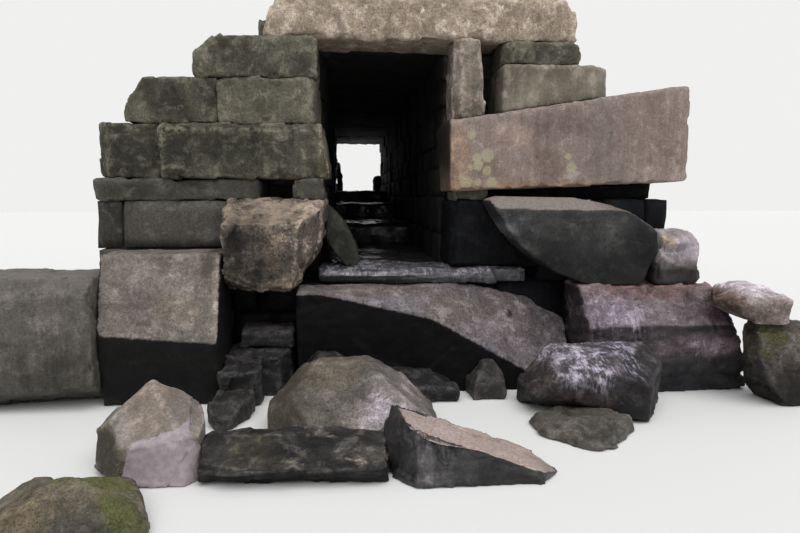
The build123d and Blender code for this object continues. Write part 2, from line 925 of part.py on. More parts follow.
with BuildPart() as moss_boulder:
    moss_left = flat_left - pale_boulder_width - moss_boulder_reach
    s = squared(
        moss_left,
        moss_left + moss_boulder_width,
        pale_front - moss_boulder_depth,
        pale_front,
        0,
        moss_boulder_height,
    )
    knock_off(s, (0, 0, 0.3), (0.45, 0, 1), (0, 1, 0.35))
    knock_off(s, (1, 0, 0.3), (0.7, 0, 1), (1, 1, 0.3))
    knock_off(s, (0, 0, 0.45), (1, 0, 0.45), (0, 0.35, 1))
    knock_off(s, (0, 1, 0.3), (1, 1, 0.3), (0, 0.5, 1))
    knock_off(s, (1, 0.34, 0), (0.78, 0.91, 0), (0.93, 0.34, 1))
    knock_off(s, (0, 0.35, 0), (0.3, 0, 0), (0.1, 0.4, 1))
    knock_off(s, (1, 0.3, 0), (0.75, 0, 0), (0.92, 0.4, 1))
    knock_off(s, (0, 0.7, 0), (0.2, 1, 0), (0.08, 0.7, 1))
finish(moss_boulder, "moss_boulder")

# The boulder under the fall leans on the low boulder, so both are cut by one plane
fall_underside = [
    Vector(fall_boulder_left, fall_front, fall_undercut_height),
    Vector(fall_boulder_left + fall_undercut_reach, fall_front, 0),
    Vector(
        fall_boulder_left,
        fall_front + fall_undercut_depth,
        fall_undercut_height - fall_undercut_drop,
    ),
]
with BuildPart() as fall_boulder:
    s = squared(
        fall_boulder_left,
        fall_boulder_left + fall_boulder_width,
        fall_front,
        right_sill_front,
        0,
        fall_boulder_height,
    )
    trim(s, *fall_underside)
    knock_off(s, (0, 0, 0.34), (0.23, 0.67, 0.94), (0, 1, 0.42))
    knock_off(s, (0.07, 0, 0.6), (0.49, 0, 0.85), (0.36, 0.62, 1))
    knock_off(s, (0.49, 0, 0.85), (0.76, 0, 0.62), (0.76, 0.67, 1))
    knock_off(s, (1, 0, 0.86), (0.93, 0, 1), (1, 1, 0.9))
    knock_off(s, (0, 0.3, 0), (0.2, 0, 0), (0.06, 0.4, 1))
    knock_off(s, (1, 0.6, 0), (0.75, 0, 0), (1, 0.55, 1))
finish(fall_boulder, "fall_boulder")

with BuildPart() as low_boulder:
    s = squared(
        low_left,
        low_left + low_boulder_width,
        fall_front - low_boulder_nose,
        fall_front + low_boulder_lap,
        0,
        low_boulder_height,
    )
    trim(s, *fall_underside)
    knock_off(s, (0, 0, 0.3), (1, 0, 0.25), (0, 0.48, 1))
    knock_off(s, (0, 0, 0.3), (0.34, 0, 1), (0, 1, 0.4))
    knock_off(s, (0, 0.4, 0), (0.36, 0, 0), (0.12, 0.4, 1))
    knock_off(s, (1, 0.5, 0), (0.6, 0, 0), (0.88, 0.5, 1))
finish(low_boulder, "low_boulder")

with BuildPart() as toe_boulder:
    s = squared(
        toe_boulder_left,
        toe_boulder_left + toe_boulder_width,
        sill_front - toe_boulder_depth,
        sill_front,
        0,
        toe_boulder_height,
    )
    knock_off(s, (0, 0, 0.42), (0.43, 0, 1), (0, 1, 0.5))
    knock_off(s, (1, 0, 0.65), (0.68, 0, 1), (1, 1, 0.71))
    knock_off(s, (0, 0, 0.5), (1, 0, 0.58), (0, 0.54, 1))
finish(toe_boulder, "toe_boulder")
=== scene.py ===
"""Looks of the dry-laid stone culvert headwall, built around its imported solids."""

import math
import random
from collections import namedtuple
from dataclasses import dataclass

import bmesh
import bpy
import numpy as np
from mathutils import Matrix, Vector, noise
from mathutils.bvhtree import BVHTree
from mathutils.kdtree import KDTree


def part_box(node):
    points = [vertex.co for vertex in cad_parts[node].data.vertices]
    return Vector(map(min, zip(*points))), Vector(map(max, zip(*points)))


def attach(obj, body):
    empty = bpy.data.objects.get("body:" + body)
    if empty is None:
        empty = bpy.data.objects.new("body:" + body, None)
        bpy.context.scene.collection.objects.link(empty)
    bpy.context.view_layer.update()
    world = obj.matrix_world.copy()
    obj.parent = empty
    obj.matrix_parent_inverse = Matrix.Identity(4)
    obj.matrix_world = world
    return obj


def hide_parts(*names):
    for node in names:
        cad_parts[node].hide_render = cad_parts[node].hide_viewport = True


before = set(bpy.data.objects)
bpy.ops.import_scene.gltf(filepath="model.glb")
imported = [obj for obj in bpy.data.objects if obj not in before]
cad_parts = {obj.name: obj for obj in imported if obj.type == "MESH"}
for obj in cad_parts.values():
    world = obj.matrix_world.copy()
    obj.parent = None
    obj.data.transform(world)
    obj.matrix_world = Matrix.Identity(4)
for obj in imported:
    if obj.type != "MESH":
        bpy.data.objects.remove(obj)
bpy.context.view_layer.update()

# Camera, in the place where the photograph was taken
EYE = Vector((-0.33, -5.1, 1.5))
TURNED_RIGHT = 4.9
TIPPED_DOWN = 6.24
LENS = 28.8

# Corners, edges and faces of the stones, with lengths in metres
MERGE_REACH = 0.0004
EDGE_SAMPLE = 0.012
EDGE_REACH = 0.05
CORNER_SHARPNESS = 0.8
KNOCK_LEAN = 0.2
KNOCK_DEPTHS = (0.008, 0.028)
SHARP_ANGLE = math.radians(22)
FLAT_ANGLE = math.radians(1.5)
PLANE_REACH = 0.0001

# Roughness of the stones: its patterns per metre, the bend of level layers, and what counts as a hollow
SWELLS, GRITS, CHIPS = 1.9, 13.0, 8.0
LAYER_BENDS, LAYER_BEND = 1.3, 1.6
HOLLOW_DEPTH = 0.02
EDGE_WEAR = 1.6

# Each stone has its own place in these patterns: a step for every count of its seed, within a span
SEED_STEPS = (3.71, 5.13, 7.97)
SEED_SPAN = 40

# Barrel, whose inner faces and the end at its mouth get painted shade, darker than the rest, and how softly
# the painted shade ends
BARREL_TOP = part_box("barrel_left_wall")[1].z
BARREL_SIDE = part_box("barrel_right_wall")[0].x + 0.05
BARREL_DEPTHS = (0.1, 0.7)
MOUTH_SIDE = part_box("right_jamb_block")[0].x - 0.016
MOUTH_DEPTHS = (-0.02, 0.01)
SIDE_FADE = 0.012
TOP_FADE = (0.06, 0.03)

# Open joints between the slabs of the barrel's roof: their places, and how wide and deep they gape
ROOF_START, ROOF_END = (corner.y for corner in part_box("roof_slabs"))
ROOF_SLABS = 5
ROOF_JOINTS = tuple(ROOF_START + slab * (ROOF_END - ROOF_START) / ROOF_SLABS for slab in range(1, ROOF_SLABS))
ROOF_JOINT_WIDTH = 0.09
ROOF_JOINT_DEPTH = 0.07

# Rubble walls: their joints, how unevenly their faces lie, how short a first block, a course and a last
# block may be beside the usual, the roughness of the blocks, and how far back the joints are packed
WALL_JOINT = 0.012
FACE_SHIFTS = (-0.01, 0.028)
FIRST_BLOCK_SHARES = (0.4, 1.0)
SMALLEST_COURSE, SMALLEST_BLOCK = 0.8, 0.6
BLOCK_SWELLS, BLOCK_SWELL = 3.2, 0.022
BLOCK_GRITS, BLOCK_GRIT = 9.0, 0.01
BLOCK_CUTS = 4
BLOCK_POINTS = (BLOCK_CUTS + 2) ** 3 - BLOCK_CUTS**3
BLOCK_ROUNDING = 0.24
HEARTING_DEPTH = 0.045

# Pale crusts on the face of the long right block: across, up and radius
LONG_BLOCK_CRUSTS = [
    (0.725, 1.806, 0.037), (0.811, 1.827, 0.051), (0.734, 1.746, 0.041), (0.804, 1.706, 0.036),
    (0.635, 1.614, 0.049), (0.731, 1.614, 0.029), (0.847, 1.609, 0.045), (0.677, 1.987, 0.033),
    (1.5, 1.733, 0.041), (1.472, 1.823, 0.024), (0.598, 1.654, 0.024), (0.672, 1.73, 0.024),
]

# The ways a stone's marks are laid out: across and up on its front, or across and back on its top
FRONT = (1.0, 0.0, 1.0)
TOP = (1.0, 1.0, 0.0)

# Outline of the fresh break on the pale boulder's front, across and up
FRESH_BREAK = [
    (-1.435, 0.235), (-1.18, 0.305), (-1.13, 0.215), (-1.11, 0.11),
    (-1.14, -0.01), (-1.27, -0.05), (-1.42, -0.02), (-1.49, 0.07),
]

# Discs on the fronts of single stones, where moss grows or painted glints of sheen lie: across, up and
# radius. Those of the moss boulder are on its top.
PALE_BOULDER_MOSS = ((-1.62, 0.13, 0.13), (-1.56, 0.06, 0.12))
ROUND_BOULDER_SHEEN = ((-0.16, 0.17, 0.1), (0.08, 0.2, 0.08))
WEDGE_BOULDER_SHEEN = ((0.1, 0.26, 0.09), (0.17, 0.21, 0.07))
BANK_MOSS = ((2.72, 0.52, 0.08), (2.64, 0.4, 0.04))
MOSS_BOULDER_MOSS = ((-1.3, -2.36, 0.09), (-1.42, -2.2, 0.1), (-1.6, -2.14, 0.08))
RIGHT_SILL_SHEEN = ((1.62, 0.62, 0.13), (1.86, 0.55, 0.09), (2.38, 0.35, 0.07))
FALL_SHEEN = ((1.2, 0.41, 0.12), (1.34, 0.37, 0.11), (1.62, 0.42, 0.08))

# Tints, painted light and painted shade in soft ovals on the fronts of single stones: across, up, half width,
# half height, tint. Those of the moss boulder are on its top: across, back, half width, half depth, tint.
LONG_BLOCK_TONES = (
    (0.55, 1.75, 0.13, 0.27, (1.16, 1.02, 0.86)),
    (1.01, 1.98, 0.16, 0.08, (1.25, 1.17, 1.13)),
    (1.4, 2.09, 0.27, 0.11, (0.7, 0.68, 0.68)),
    (1.78, 1.88, 0.19, 0.32, (0.82, 0.82, 0.83)),
    (0.81, 1.73, 0.13, 0.08, (0.78, 0.75, 0.7)),
    (1.28, 1.75, 0.15, 0.13, (0.8, 0.76, 0.73)),
    (2.23, 2.04, 0.37, 0.29, (0.9, 0.88, 0.86)),
    (1.16, 1.58, 0.73, 0.05, (1.1, 1.0, 0.84)),
)
ROUGH_BLOCK_TONES = (
    (-1.05, 1.22, 0.15, 0.15, (0.5, 0.49, 0.48)),
    (-1.15, 1.07, 0.07, 0.25, (0.42, 0.42, 0.43)),
    (-0.66, 1.2, 0.06, 0.24, (1.5, 1.46, 1.42)),
    (-0.55, 1.22, 0.07, 0.3, (1.7, 1.66, 1.68)),
    (-0.86, 1.15, 0.09, 0.12, (1.35, 1.28, 1.2)),
    (-0.97, 0.95, 0.15, 0.1, (0.55, 0.53, 0.5)),
    (-0.78, 0.86, 0.18, 0.04, (1.25, 1.2, 1.05)),
)
WING_TONES = (
    (-1.68, 1.1, 0.56, 0.07, (0.75, 0.76, 0.74)),
    (-1.32, 1.02, 0.05, 0.12, (0.55, 0.55, 0.53)),
    (-1.92, 0.82, 0.18, 0.15, (0.8, 0.8, 0.8)),
    (-1.53, 0.7, 0.14, 0.1, (1.14, 1.11, 1.05)),
    (-1.25, 0.8, 0.04, 0.25, (1.22, 1.17, 1.14)),
    (-1.72, 0.12, 0.57, 0.13, (0.4, 0.44, 0.5)),
    (-1.72, 0.36, 0.57, 0.13, (0.8, 0.86, 0.9)),
)
CURVED_STONE_TONES = (
    (0.96, 1.29, 0.11, 0.06, (1.8, 1.8, 1.9)),
    (0.91, 1.19, 0.07, 0.1, (2.4, 2.35, 2.35)),
    (1.05, 1.07, 0.12, 0.06, (2.4, 2.3, 2.25)),
    (1.5, 1.25, 0.31, 0.07, (1.3, 1.32, 1.24)),
    (1.99, 1.16, 0.11, 0.2, (0.5, 0.5, 0.52)),
    (1.88, 1.43, 0.2, 0.08, (0.62, 0.6, 0.55)),
)
SILL_TONES = (
    (1.0, 0.58, 0.17, 0.19, (1.2, 1.14, 1.1)),
    (0.52, 0.62, 0.23, 0.1, (1.02, 1.03, 0.9)),
    (-0.1, 0.78, 0.5, 0.03, (0.8, 0.74, 0.64)),
    (0.98, 0.56, 0.025, 0.03, (0.12, 0.09, 0.08)),
    (-0.2, 0.36, 0.5, 0.24, (0.5, 0.6, 0.8)),
    (0.5, 0.22, 0.3, 0.16, (0.5, 0.6, 0.8)),
)
RIGHT_SILL_TONES = (
    (2.04, 0.78, 0.53, 0.07, (1.0, 0.72, 0.66)),
    (1.67, 0.62, 0.2, 0.1, (1.35, 1.33, 1.5)),
    (2.46, 0.6, 0.22, 0.11, (0.5, 0.44, 0.46)),
    (2.1, 0.51, 0.5, 0.03, (0.35, 0.33, 0.37)),
    (1.42, 0.7, 0.1, 0.1, (0.6, 0.52, 0.52)),
    (2.3, 0.38, 0.36, 0.07, (2.8, 2.6, 2.75)),
    (2.3, 0.12, 0.6, 0.14, (0.4, 0.42, 0.5)),
)
FALL_BOULDER_TONES = (
    (1.24, 0.39, 0.19, 0.09, (4.4, 4.25, 4.9)),
    (1.66, 0.42, 0.16, 0.03, (3.6, 3.5, 4.2)),
    (0.97, 0.3, 0.1, 0.07, (1.6, 1.4, 1.3)),
    (1.62, 0.24, 0.16, 0.14, (0.5, 0.48, 0.52)),
    (1.21, 0.16, 0.29, 0.06, (0.9, 0.76, 0.66)),
)
PALE_BOULDER_TONES = (
    (-1.22, 0.38, 0.15, 0.1, (0.76, 0.75, 0.76)),
    (-1.4, 0.36, 0.12, 0.1, (1.05, 1.0, 0.93)),
    (-1.6, 0.15, 0.14, 0.14, (0.42, 0.42, 0.34)),
    (-1.21, 0.44, 0.13, 0.02, (1.4, 1.36, 1.3)),
    (-1.08, 0.34, 0.03, 0.06, (1.4, 1.36, 1.3)),
)
ROUND_BOULDER_TONES = (
    (-0.7, 0.22, 0.14, 0.18, (0.6, 0.58, 0.48)),
    (-0.45, 0.4, 0.18, 0.08, (1.25, 1.13, 0.98)),
    (-0.16, 0.17, 0.13, 0.09, (2.7, 2.65, 3.1)),
    (-0.05, 0.27, 0.13, 0.1, (1.75, 1.75, 1.95)),
    (0.12, 0.22, 0.1, 0.1, (1.7, 1.7, 1.74)),
    (-0.4, 0.1, 0.2, 0.06, (0.75, 0.66, 0.52)),
)
WEDGE_BOULDER_TONES = (
    (-0.07, 0.16, 0.05, 0.18, (0.8, 0.78, 0.78)),
    (0.09, 0.1, 0.04, 0.055, (3.2, 3.1, 3.1)),
    (0.17, 0.04, 0.13, 0.03, (2.6, 2.5, 2.5)),
    (0.3, 0.11, 0.06, 0.05, (2.2, 2.15, 2.1)),
    (0.2, 0.13, 0.045, 0.05, (0.6, 0.58, 0.56)),
    (0.5, 0.02, 0.16, 0.04, (0.6, 0.55, 0.5)),
)
FLAT_LEDGE_TONES = (
    (-0.57, 0.03, 0.7, 0.06, (0.3, 0.31, 0.36)),
    (-0.42, 0.2, 0.36, 0.02, (2.6, 2.55, 2.4)),
    (-0.85, 0.16, 0.12, 0.03, (1.2, 1.15, 0.85)),
    (-0.35, 0.13, 0.4, 0.015, (2.6, 2.5, 2.3)),
)
LEFT_BLOCK_TONES = (
    (-0.49, 1.82, 0.05, 0.22, (1.9, 1.8, 1.7)),
    (-1.2, 1.9, 0.25, 0.15, (0.75, 0.76, 0.74)),
)
END_BLOCK_TONES = (
    (-2.4, 0.3, 0.3, 0.12, (0.62, 0.61, 0.6)),
    (-2.35, 0.7, 0.12, 0.1, (1.25, 1.22, 1.18)),
)
MOSS_BOULDER_TONES = (
    (-1.38, -2.52, 0.2, 0.13, (0.5, 0.53, 0.58)),
    (-1.72, -2.5, 0.14, 0.2, (1.3, 1.2, 1.05)),
    (-1.45, -1.95, 0.4, 0.12, (0.6, 0.62, 0.5)),
)
BANK_UPPER_TONES = (
    (2.19, 1.15, 0.06, 0.05, (1.15, 1.06, 0.78)),
    (2.34, 1.07, 0.16, 0.1, (1.2, 1.16, 1.24)),
    (2.3, 0.95, 0.3, 0.05, (0.6, 0.6, 0.55)),
)
BANK_CAP_TONES = (
    (2.68, 0.84, 0.2, 0.05, (1.5, 1.52, 1.68)),
    (2.42, 0.78, 0.1, 0.1, (0.6, 0.5, 0.43)),
    (2.68, 0.69, 0.3, 0.09, (0.4, 0.36, 0.32)),
)

# How much lighter or darker than a finish's own colours its worn edges, hollows, dust with painted skylight,
# tufts and crusts are
WORN_PALE = 1.45
HOLLOW_DARK = 0.3
LIT_DUST_GAINS = (0.7, 1.25)
TUFT_GAINS = (0.45, 1.7)
CRUST_GAINS = (0.75, 1.2)

# How dust with painted skylight, moss, crusts, fresh breaks and wetness change the colour, the gloss and the
# relief of a stone
LIT_DUST_FADE = 0.26
MOSS_COVER = 0.85
MOSS_SPOT_COVER = 0.9
MOSS_HEIGHT = 0.8
CRUST_COVER = 0.68
LICHEN_SCALE = 16.0
FRESH_DARK = (0.31, 0.265, 0.28)
FRESH_PALE = (0.42, 0.362, 0.385)
FRESH_FLATTENS = 0.6
DRY_ROUGHNESS = 0.94
DAMP_FADE = 0.2
WET_DARKENS = 0.45
WET_SMOOTHS = 0.52
WET_COAT_ROUGHNESS = 0.16
BUMP_STRENGTH = 0.9

# How far a face is turned to the sky where fronts with painted shade end and lit tops start, and how much
# scuffs shift it
LIT_TURN = (0.125, 0.245)
SCUFF_SHIFT = 0.03

# Steps on vectors that give a number, and the sockets of node groups that don't hold a number
MEASURES = {"DISTANCE", "DOT_PRODUCT", "LENGTH"}
SOCKET_KINDS = {"Place": "Vector", "Color": "Color", "Dark": "Color", "Middle": "Color", "Pale": "Color"}

# Floor, light and background
FLOOR_SIZE = 60.0
FLOOR_DROP = 0.002
FLOOR_COLOUR = (0.8, 0.8, 0.79)
FLOOR_ROUGHNESS = 0.9
SKY_COLOUR = (0.98, 0.99, 1.0)
SKY_STRENGTH = 0.42
BACKGROUND = (0.87, 0.87, 0.865)


def placed(name, data):
    """A new object, put in the scene."""
    made = bpy.data.objects.new(name, data)
    bpy.context.scene.collection.objects.link(made)
    return made


def add_camera():
    """Places the camera and makes it the scene's own."""
    data = bpy.data.cameras.new("view")
    data.lens = LENS
    camera = placed("view", data)
    camera.location = EYE
    camera.rotation_euler = (math.radians(90 - TIPPED_DOWN), 0, math.radians(-TURNED_RIGHT))
    bpy.context.scene.camera = camera


def add_sun(name, direction, strength, spread):
    """A soft distant lamp that shines along a direction."""
    data = bpy.data.lights.new(name, "SUN")
    data.energy = strength
    data.angle = math.radians(spread)
    placed(name, data).rotation_euler = Vector(direction).to_track_quat("-Z", "Y").to_euler()


# Shader nodes


def add(kind, inputs=(), tree=None, **settings):
    """Adds a shader node to a tree, or to that of the sockets that feed it. Inputs maps the name or number
    of each of its own sockets to a value or another socket."""
    inputs = dict(inputs)
    fed = {key: value for key, value in inputs.items() if isinstance(value, bpy.types.NodeSocket)}
    tree = tree or next(iter(fed.values())).id_data
    made = tree.nodes.new("ShaderNode" + kind)
    for key, value in settings.items():
        setattr(made, key, value)
    for key, value in inputs.items():
        if key in fed:
            tree.links.new(value, made.inputs[key])
        else:
            made.inputs[key].default_value = value
    return made


def maths(operation, first, second=0.0, third=0.0):
    """One step of arithmetic on numbers."""
    return add("Math", {0: first, 1: second, 2: third}, operation=operation).outputs[0]


def times(first, second):
    """The product of two numbers."""
    return maths("MULTIPLY", first, second)


def plus(first, second):
    """The sum of two numbers."""
    return maths("ADD", first, second)


def gained(value, gain, start):
    """A number times a gain, added to a start."""
    return maths("MULTIPLY_ADD", value, gain, start)


def vector(operation, *given):
    """One step of arithmetic on vectors, which gives a number for a length, a distance or a dot product."""
    made = add("VectorMath", dict(enumerate(given)), operation=operation)
    return made.outputs["Value" if operation in MEASURES else "Vector"]


def scaled(colour, gain):
    """A colour or a vector times a number."""
    return add("VectorMath", {0: colour, "Scale": gain}, operation="SCALE").outputs[0]


def parts(place):
    """The three coordinates of a place."""
    return add("SeparateXYZ", {0: place}).outputs


def opaque(colour, gain=1.0):
    """A colour times a gain, with its alpha."""
    return (*(gain * share for share in colour), 1.0)


def between(value, low, high):
    """A smooth step from 0 at low to 1 at high."""
    sockets = {"Value": value, "From Min": low, "From Max": high}
    made = add("MapRange", sockets, interpolation_type="SMOOTHSTEP")
    return made.outputs["Result"]


def blend(share, first, second):
    """Mixes two colours."""
    return add("Mix", {0: share, 6: first, 7: second}, data_type="RGBA").outputs[2]


def grain(place, scale, detail, roughness, warp=0.0):
    """Cloudy noise, from 0 to 1."""
    sockets = {"Vector": place, "Scale": scale, "Detail": detail, "Roughness": roughness, "Distortion": warp}
    return add("TexNoise", sockets).outputs["Fac"]


def stretched(place, scale):
    """A place with each of its three coordinates times its own scale."""
    return add("Mapping", {"Vector": place, "Scale": scale}).outputs[0]


def make_group(name, fill, inputs, outputs):
    """A node group with named sockets, from a function that adds its nodes and gives its results."""
    tree = bpy.data.node_groups.new(name, "ShaderNodeTree")
    for way, labels in (("INPUT", inputs), ("OUTPUT", outputs)):
        for label in labels.split():
            kind = "NodeSocket" + SOCKET_KINDS.get(label, "Float")
            tree.interface.new_socket(name=label, in_out=way, socket_type=kind)
    results = fill(tree.nodes.new("NodeGroupInput").outputs)
    ends = tree.nodes.new("NodeGroupOutput").inputs
    for label, result in zip(outputs.split(), results):
        tree.links.new(result, ends[label])
    return tree


def use_group(group, **inputs):
    """Places a node group and returns its outputs."""
    return add("Group", inputs, node_tree=group).outputs


def mottled_stone(given):
    """Colour and relief of bare stone: broad clouds, patches, and light and dark grains."""
    place = given["Place"]
    broad = grain(place, 2.3, 5, 0.62, 0.6)
    patches = grain(place, 9.0, 7, 0.68, 0.4)
    fine = grain(place, 46.0, 5, 0.7)
    grit = grain(place, 210.0, 2, 0.6)
    cells = add("TexVoronoi", {"Vector": place, "Scale": 150.0}).outputs["Color"]
    crystal = add("SeparateColor", {0: cells}).outputs[0]
    shade = gained(given["Tone"], 0.16, broad)
    colour = blend(between(shade, 0.34, 0.6), given["Dark"], given["Middle"])
    colour = blend(between(patches, 0.47, 0.72), colour, given["Pale"])
    salt = maths("SUBTRACT", plus(fine, times(grit, 0.9)), 0.95)
    salt = plus(salt, gained(crystal, 0.3, -0.15))
    gain = gained(times(salt, given["Speckle"]), 2.6, 1.0)
    tone_gain = gained(given["Tone"], 0.14, 1.0)
    gain = maths("MAXIMUM", times(gain, tone_gain), 0.12)
    height = gained(patches, 0.9, times(fine, 0.5))
    height = gained(grit, 0.16, height)
    return scaled(colour, gain), height


def lichen_crusts(given):
    """Round pale crusts of uneven size, in loose colonies."""
    place = given["Place"]
    wobble = add("TexNoise", {"Vector": place, "Scale": 26.0, "Detail": 3.0}).outputs["Color"]
    bent = vector("ADD", place, scaled(wobble, 0.02))
    cells = add("TexVoronoi", {"Vector": bent, "Scale": given["Scale"]})
    size = add("SeparateColor", {0: cells.outputs["Color"]}).outputs[0]
    colony = grain(place, 2.0, 3, 0.6)
    reach = times(times(size, size), 0.5)
    reach = times(reach, between(colony, 0.5, 0.64))
    inside = maths("SUBTRACT", reach, cells.outputs["Distance"])
    mask = times(between(inside, 0.0, 0.05), given["Cover"])
    crumbs = between(grain(place, 120.0, 3, 0.7), 0.36, 0.6)
    return [times(mask, crumbs)]


def thin_moss(given):
    """Thin green growth on faces turned to the sky and in hollows, and its tufts."""
    clumps = grain(given["Place"], 5.0, 6, 0.7, 0.5)
    tufts = grain(given["Place"], 90.0, 4, 0.75)
    lean = gained(given["Skyward"], 0.16, times(given["Hollow"], 0.2))
    amount = plus(plus(clumps, lean), times(tufts, 0.16))
    edge = maths("SUBTRACT", 0.98, times(given["Cover"], 0.5))
    over = maths("SUBTRACT", amount, edge)
    return between(over, 0.0, 0.12), tufts


def run_marks(given):
    """Pale and dark marks that run down a face, as a gain on its colour."""
    lines = grain(stretched(given["Place"], (15.0, 15.0, 1.1)), 1.0, 6, 0.7, 0.4)
    threads = grain(stretched(given["Place"], (60.0, 60.0, 5.0)), 1.0, 4, 0.7, 0.3)
    broad = between(grain(given["Place"], 1.9, 3, 0.6), 0.32, 0.6)
    swing = gained(lines, -3.2, 1.55)
    swing = times(swing, gained(broad, 0.75, 0.25))
    swing = plus(swing, gained(threads, -1.6, 0.8))
    gain = gained(swing, given["Strength"], 1.0)
    return [maths("MAXIMUM", gain, 0.15)]


def bedding(given):
    """Thin level layers in a stone, as a gain on its colour and as relief."""
    layers = grain(stretched(given["Place"], (2.2, 2.2, 30.0)), 1.0, 5, 0.65, 0.5)
    swing = gained(layers, 3.4, -1.7)
    gain = gained(swing, given["Strength"], 1.0)
    return maths("MAXIMUM", gain, 0.2), layers


def wet_glints(given):
    """Painted glints: fine broken streaks of light on a wet face."""
    threads = grain(stretched(given["Place"], (48.0, 11.0, 9.0)), 1.0, 4, 0.75, 0.2)
    clouds = grain(given["Place"], 9.0, 5, 0.7, 0.5)
    level = gained(clouds, 0.9, threads)
    return [between(level, 0.9, 1.2)]


def damp_foot(given):
    """Where a stone is wet: below a level that wanders, and more in its hollows."""
    up = parts(given["Place"])["Z"]
    wander = gained(grain(given["Place"], 3.5, 6, 0.65), 0.5, -0.25)
    depth = maths("SUBTRACT", plus(given["Level"], wander), up)
    depth = gained(given["Hollow"], 0.12, depth)
    share = maths("DIVIDE", depth, given["Fade"])
    return [between(share, -0.5, 0.5)]


def foot_shade(place, low, high, least):
    """Painted shade towards a stone's foot: how dark it grows, from 1 above a level to a least value below
    another.
    """
    up = parts(place)["Z"]
    wander = gained(grain(place, 6.0, 6, 0.65), 0.6 * (high - low), up)
    share = between(wander, low + 0.3 * (high - low), high + 0.3 * (high - low))
    return gained(share, 1.0 - least, least)


def laid(first, second, view):
    """A pair of measures on a stone's front or top, as a vector."""
    return (first, second * view[1], second * view[2])


def disc_mask(place, discs, scale, ragged, soft, view=FRONT):
    """Where a face, seen from its front or top, lies inside one of a few discs with a ragged rim."""
    face = vector("MULTIPLY", place, view)
    rim = gained(grain(place, scale, 5, 0.75), 2.0 * ragged, -ragged)
    mask = 0.0
    for across, up, radius in discs:
        away = vector("DISTANCE", face, laid(across, up, view))
        inside = between(plus(away, rim), radius + soft, radius - soft)
        mask = maths("MAXIMUM", inside, mask)
    return mask


def paint_tints_and_light(place, colour, tones, view):
    """Tints a colour, and paints light and shade, inside soft ovals on a stone, seen from its front or top.
    """
    rim = gained(grain(place, 8.0, 6, 0.72), 1.9, -0.95)
    for across, up, wide, high, tint in tones:
        fit = (laid(1 / wide, 1 / high, view), laid(-across / wide, -up / high, view))
        away = vector("LENGTH", vector("MULTIPLY_ADD", place, *fit))
        inside = between(plus(away, rim), 1.5, 0.5)
        gain = blend(inside, opaque((1.0, 1.0, 1.0)), opaque(tint))
        colour = vector("MULTIPLY", colour, gain)
    return colour


def outline_mask(place, points):
    """Where a face, seen from the front, lies inside a convex outline given clockwise."""
    ragged = gained(grain(place, 22.0, 5, 0.7), 0.04, -0.02)
    mask = 1.0
    for first, last in zip(points, points[1:] + points[:1]):
        run = Vector((last[0] - first[0], last[1] - first[1])).normalized()
        inward = (run.y, 0.0, -run.x)
        along = vector("DOT_PRODUCT", place, inward)
        start = inward[0] * first[0] + inward[2] * first[1]
        inside = between(plus(along, ragged), start - 0.003, start + 0.003)
        mask = maths("MINIMUM", inside, mask)
    return mask


def barrel_shade(place, side, depths, least):
    """Painted shade on the inner faces of the barrel: how dark they are, from 1 outside to a least value
    within.
    """
    here = parts(place)
    sideways = maths("ABSOLUTE", here["X"])
    within = between(sideways, side + SIDE_FADE, side - SIDE_FADE)
    under = between(here["Z"], *(BARREL_TOP + fade for fade in TOP_FADE))
    deep = between(here["Y"], *depths)
    share = times(times(within, under), deep)
    return gained(share, least - 1.0, 1.0)


MOTTLED = make_group("mottled_stone", mottled_stone, "Place Dark Middle Pale Tone Speckle", "Color Height")
LICHEN = make_group("lichen_crusts", lichen_crusts, "Place Scale Cover", "Mask")
MOSS = make_group("thin_moss", thin_moss, "Place Skyward Hollow Cover", "Mask Tuft")
RUNS = make_group("run_marks", run_marks, "Place Strength", "Gain")
BEDDING = make_group("bedding", bedding, "Place Strength", "Gain Height")
GLINTS = make_group("wet_glints", wet_glints, "Place", "Mask")
DAMP = make_group("damp_foot", damp_foot, "Place Level Fade Hollow", "Mask")


@dataclass
class Finish:
    """What one kind of stone looks like. Colours are linear, levels are in metres."""

    slot: str
    dark: tuple
    middle: tuple
    pale: tuple
    # Light and dark grains, pale edges and dark hollows
    speckle: float = 0.5
    worn: float = 0.35
    hollow: float = 0.55
    # Dust and painted skylight on what is turned to the sky: its share, its colour, and from which cloud and
    # slope it starts
    skylit: float = 0.0
    skylit_colour: tuple = (0.2, 0.18, 0.15)
    skylit_from: float = 0.36
    skylit_turn: tuple = (0.2, 0.75)
    # Painted shade, as how bright are beside the rest: faces not turned to the sky, faces inside the barrel,
    # the end at its mouth, and the foot, which begins between two levels
    face_shade: float = 1.0
    inner_shade: float = 1.0
    end_shade: float = 1.0
    foot_shade: float = 1.0
    foot: tuple = (0.0, 0.3)
    # Level layers, run marks, growth and crusts
    beds: float = 0.0
    runs: float = 0.0
    moss: float = 0.0
    moss_colour: tuple = (0.055, 0.065, 0.022)
    moss_spots: tuple = ()
    lichen: float = 0.0
    lichen_colour: tuple = (0.36, 0.36, 0.22)
    crusts: tuple = ()
    # Wetness: below which level, how much everywhere, and where painted glints lie
    level: float = -1.0
    wet: float = 0.0
    glints: float = 0.0
    glint_colour: tuple = (0.42, 0.38, 0.44)
    sheen: tuple = ()
    # Marks of one stone alone, with tints and painted light and shade, and whether they are laid out on its
    # front or its top
    fresh_break: tuple = ()
    tones: tuple = ()
    view: tuple = FRONT
    # How deep its bumps are, and how strongly it reflects
    relief: float = 0.006
    gloss: float = 0.35


# Sockets that say where a point of the surface is, what the mesh notes of it, and where it is scuffed or
# turned to the sky
Marks = namedtuple("Marks", "place worn hollow tone skyward scuff turned")


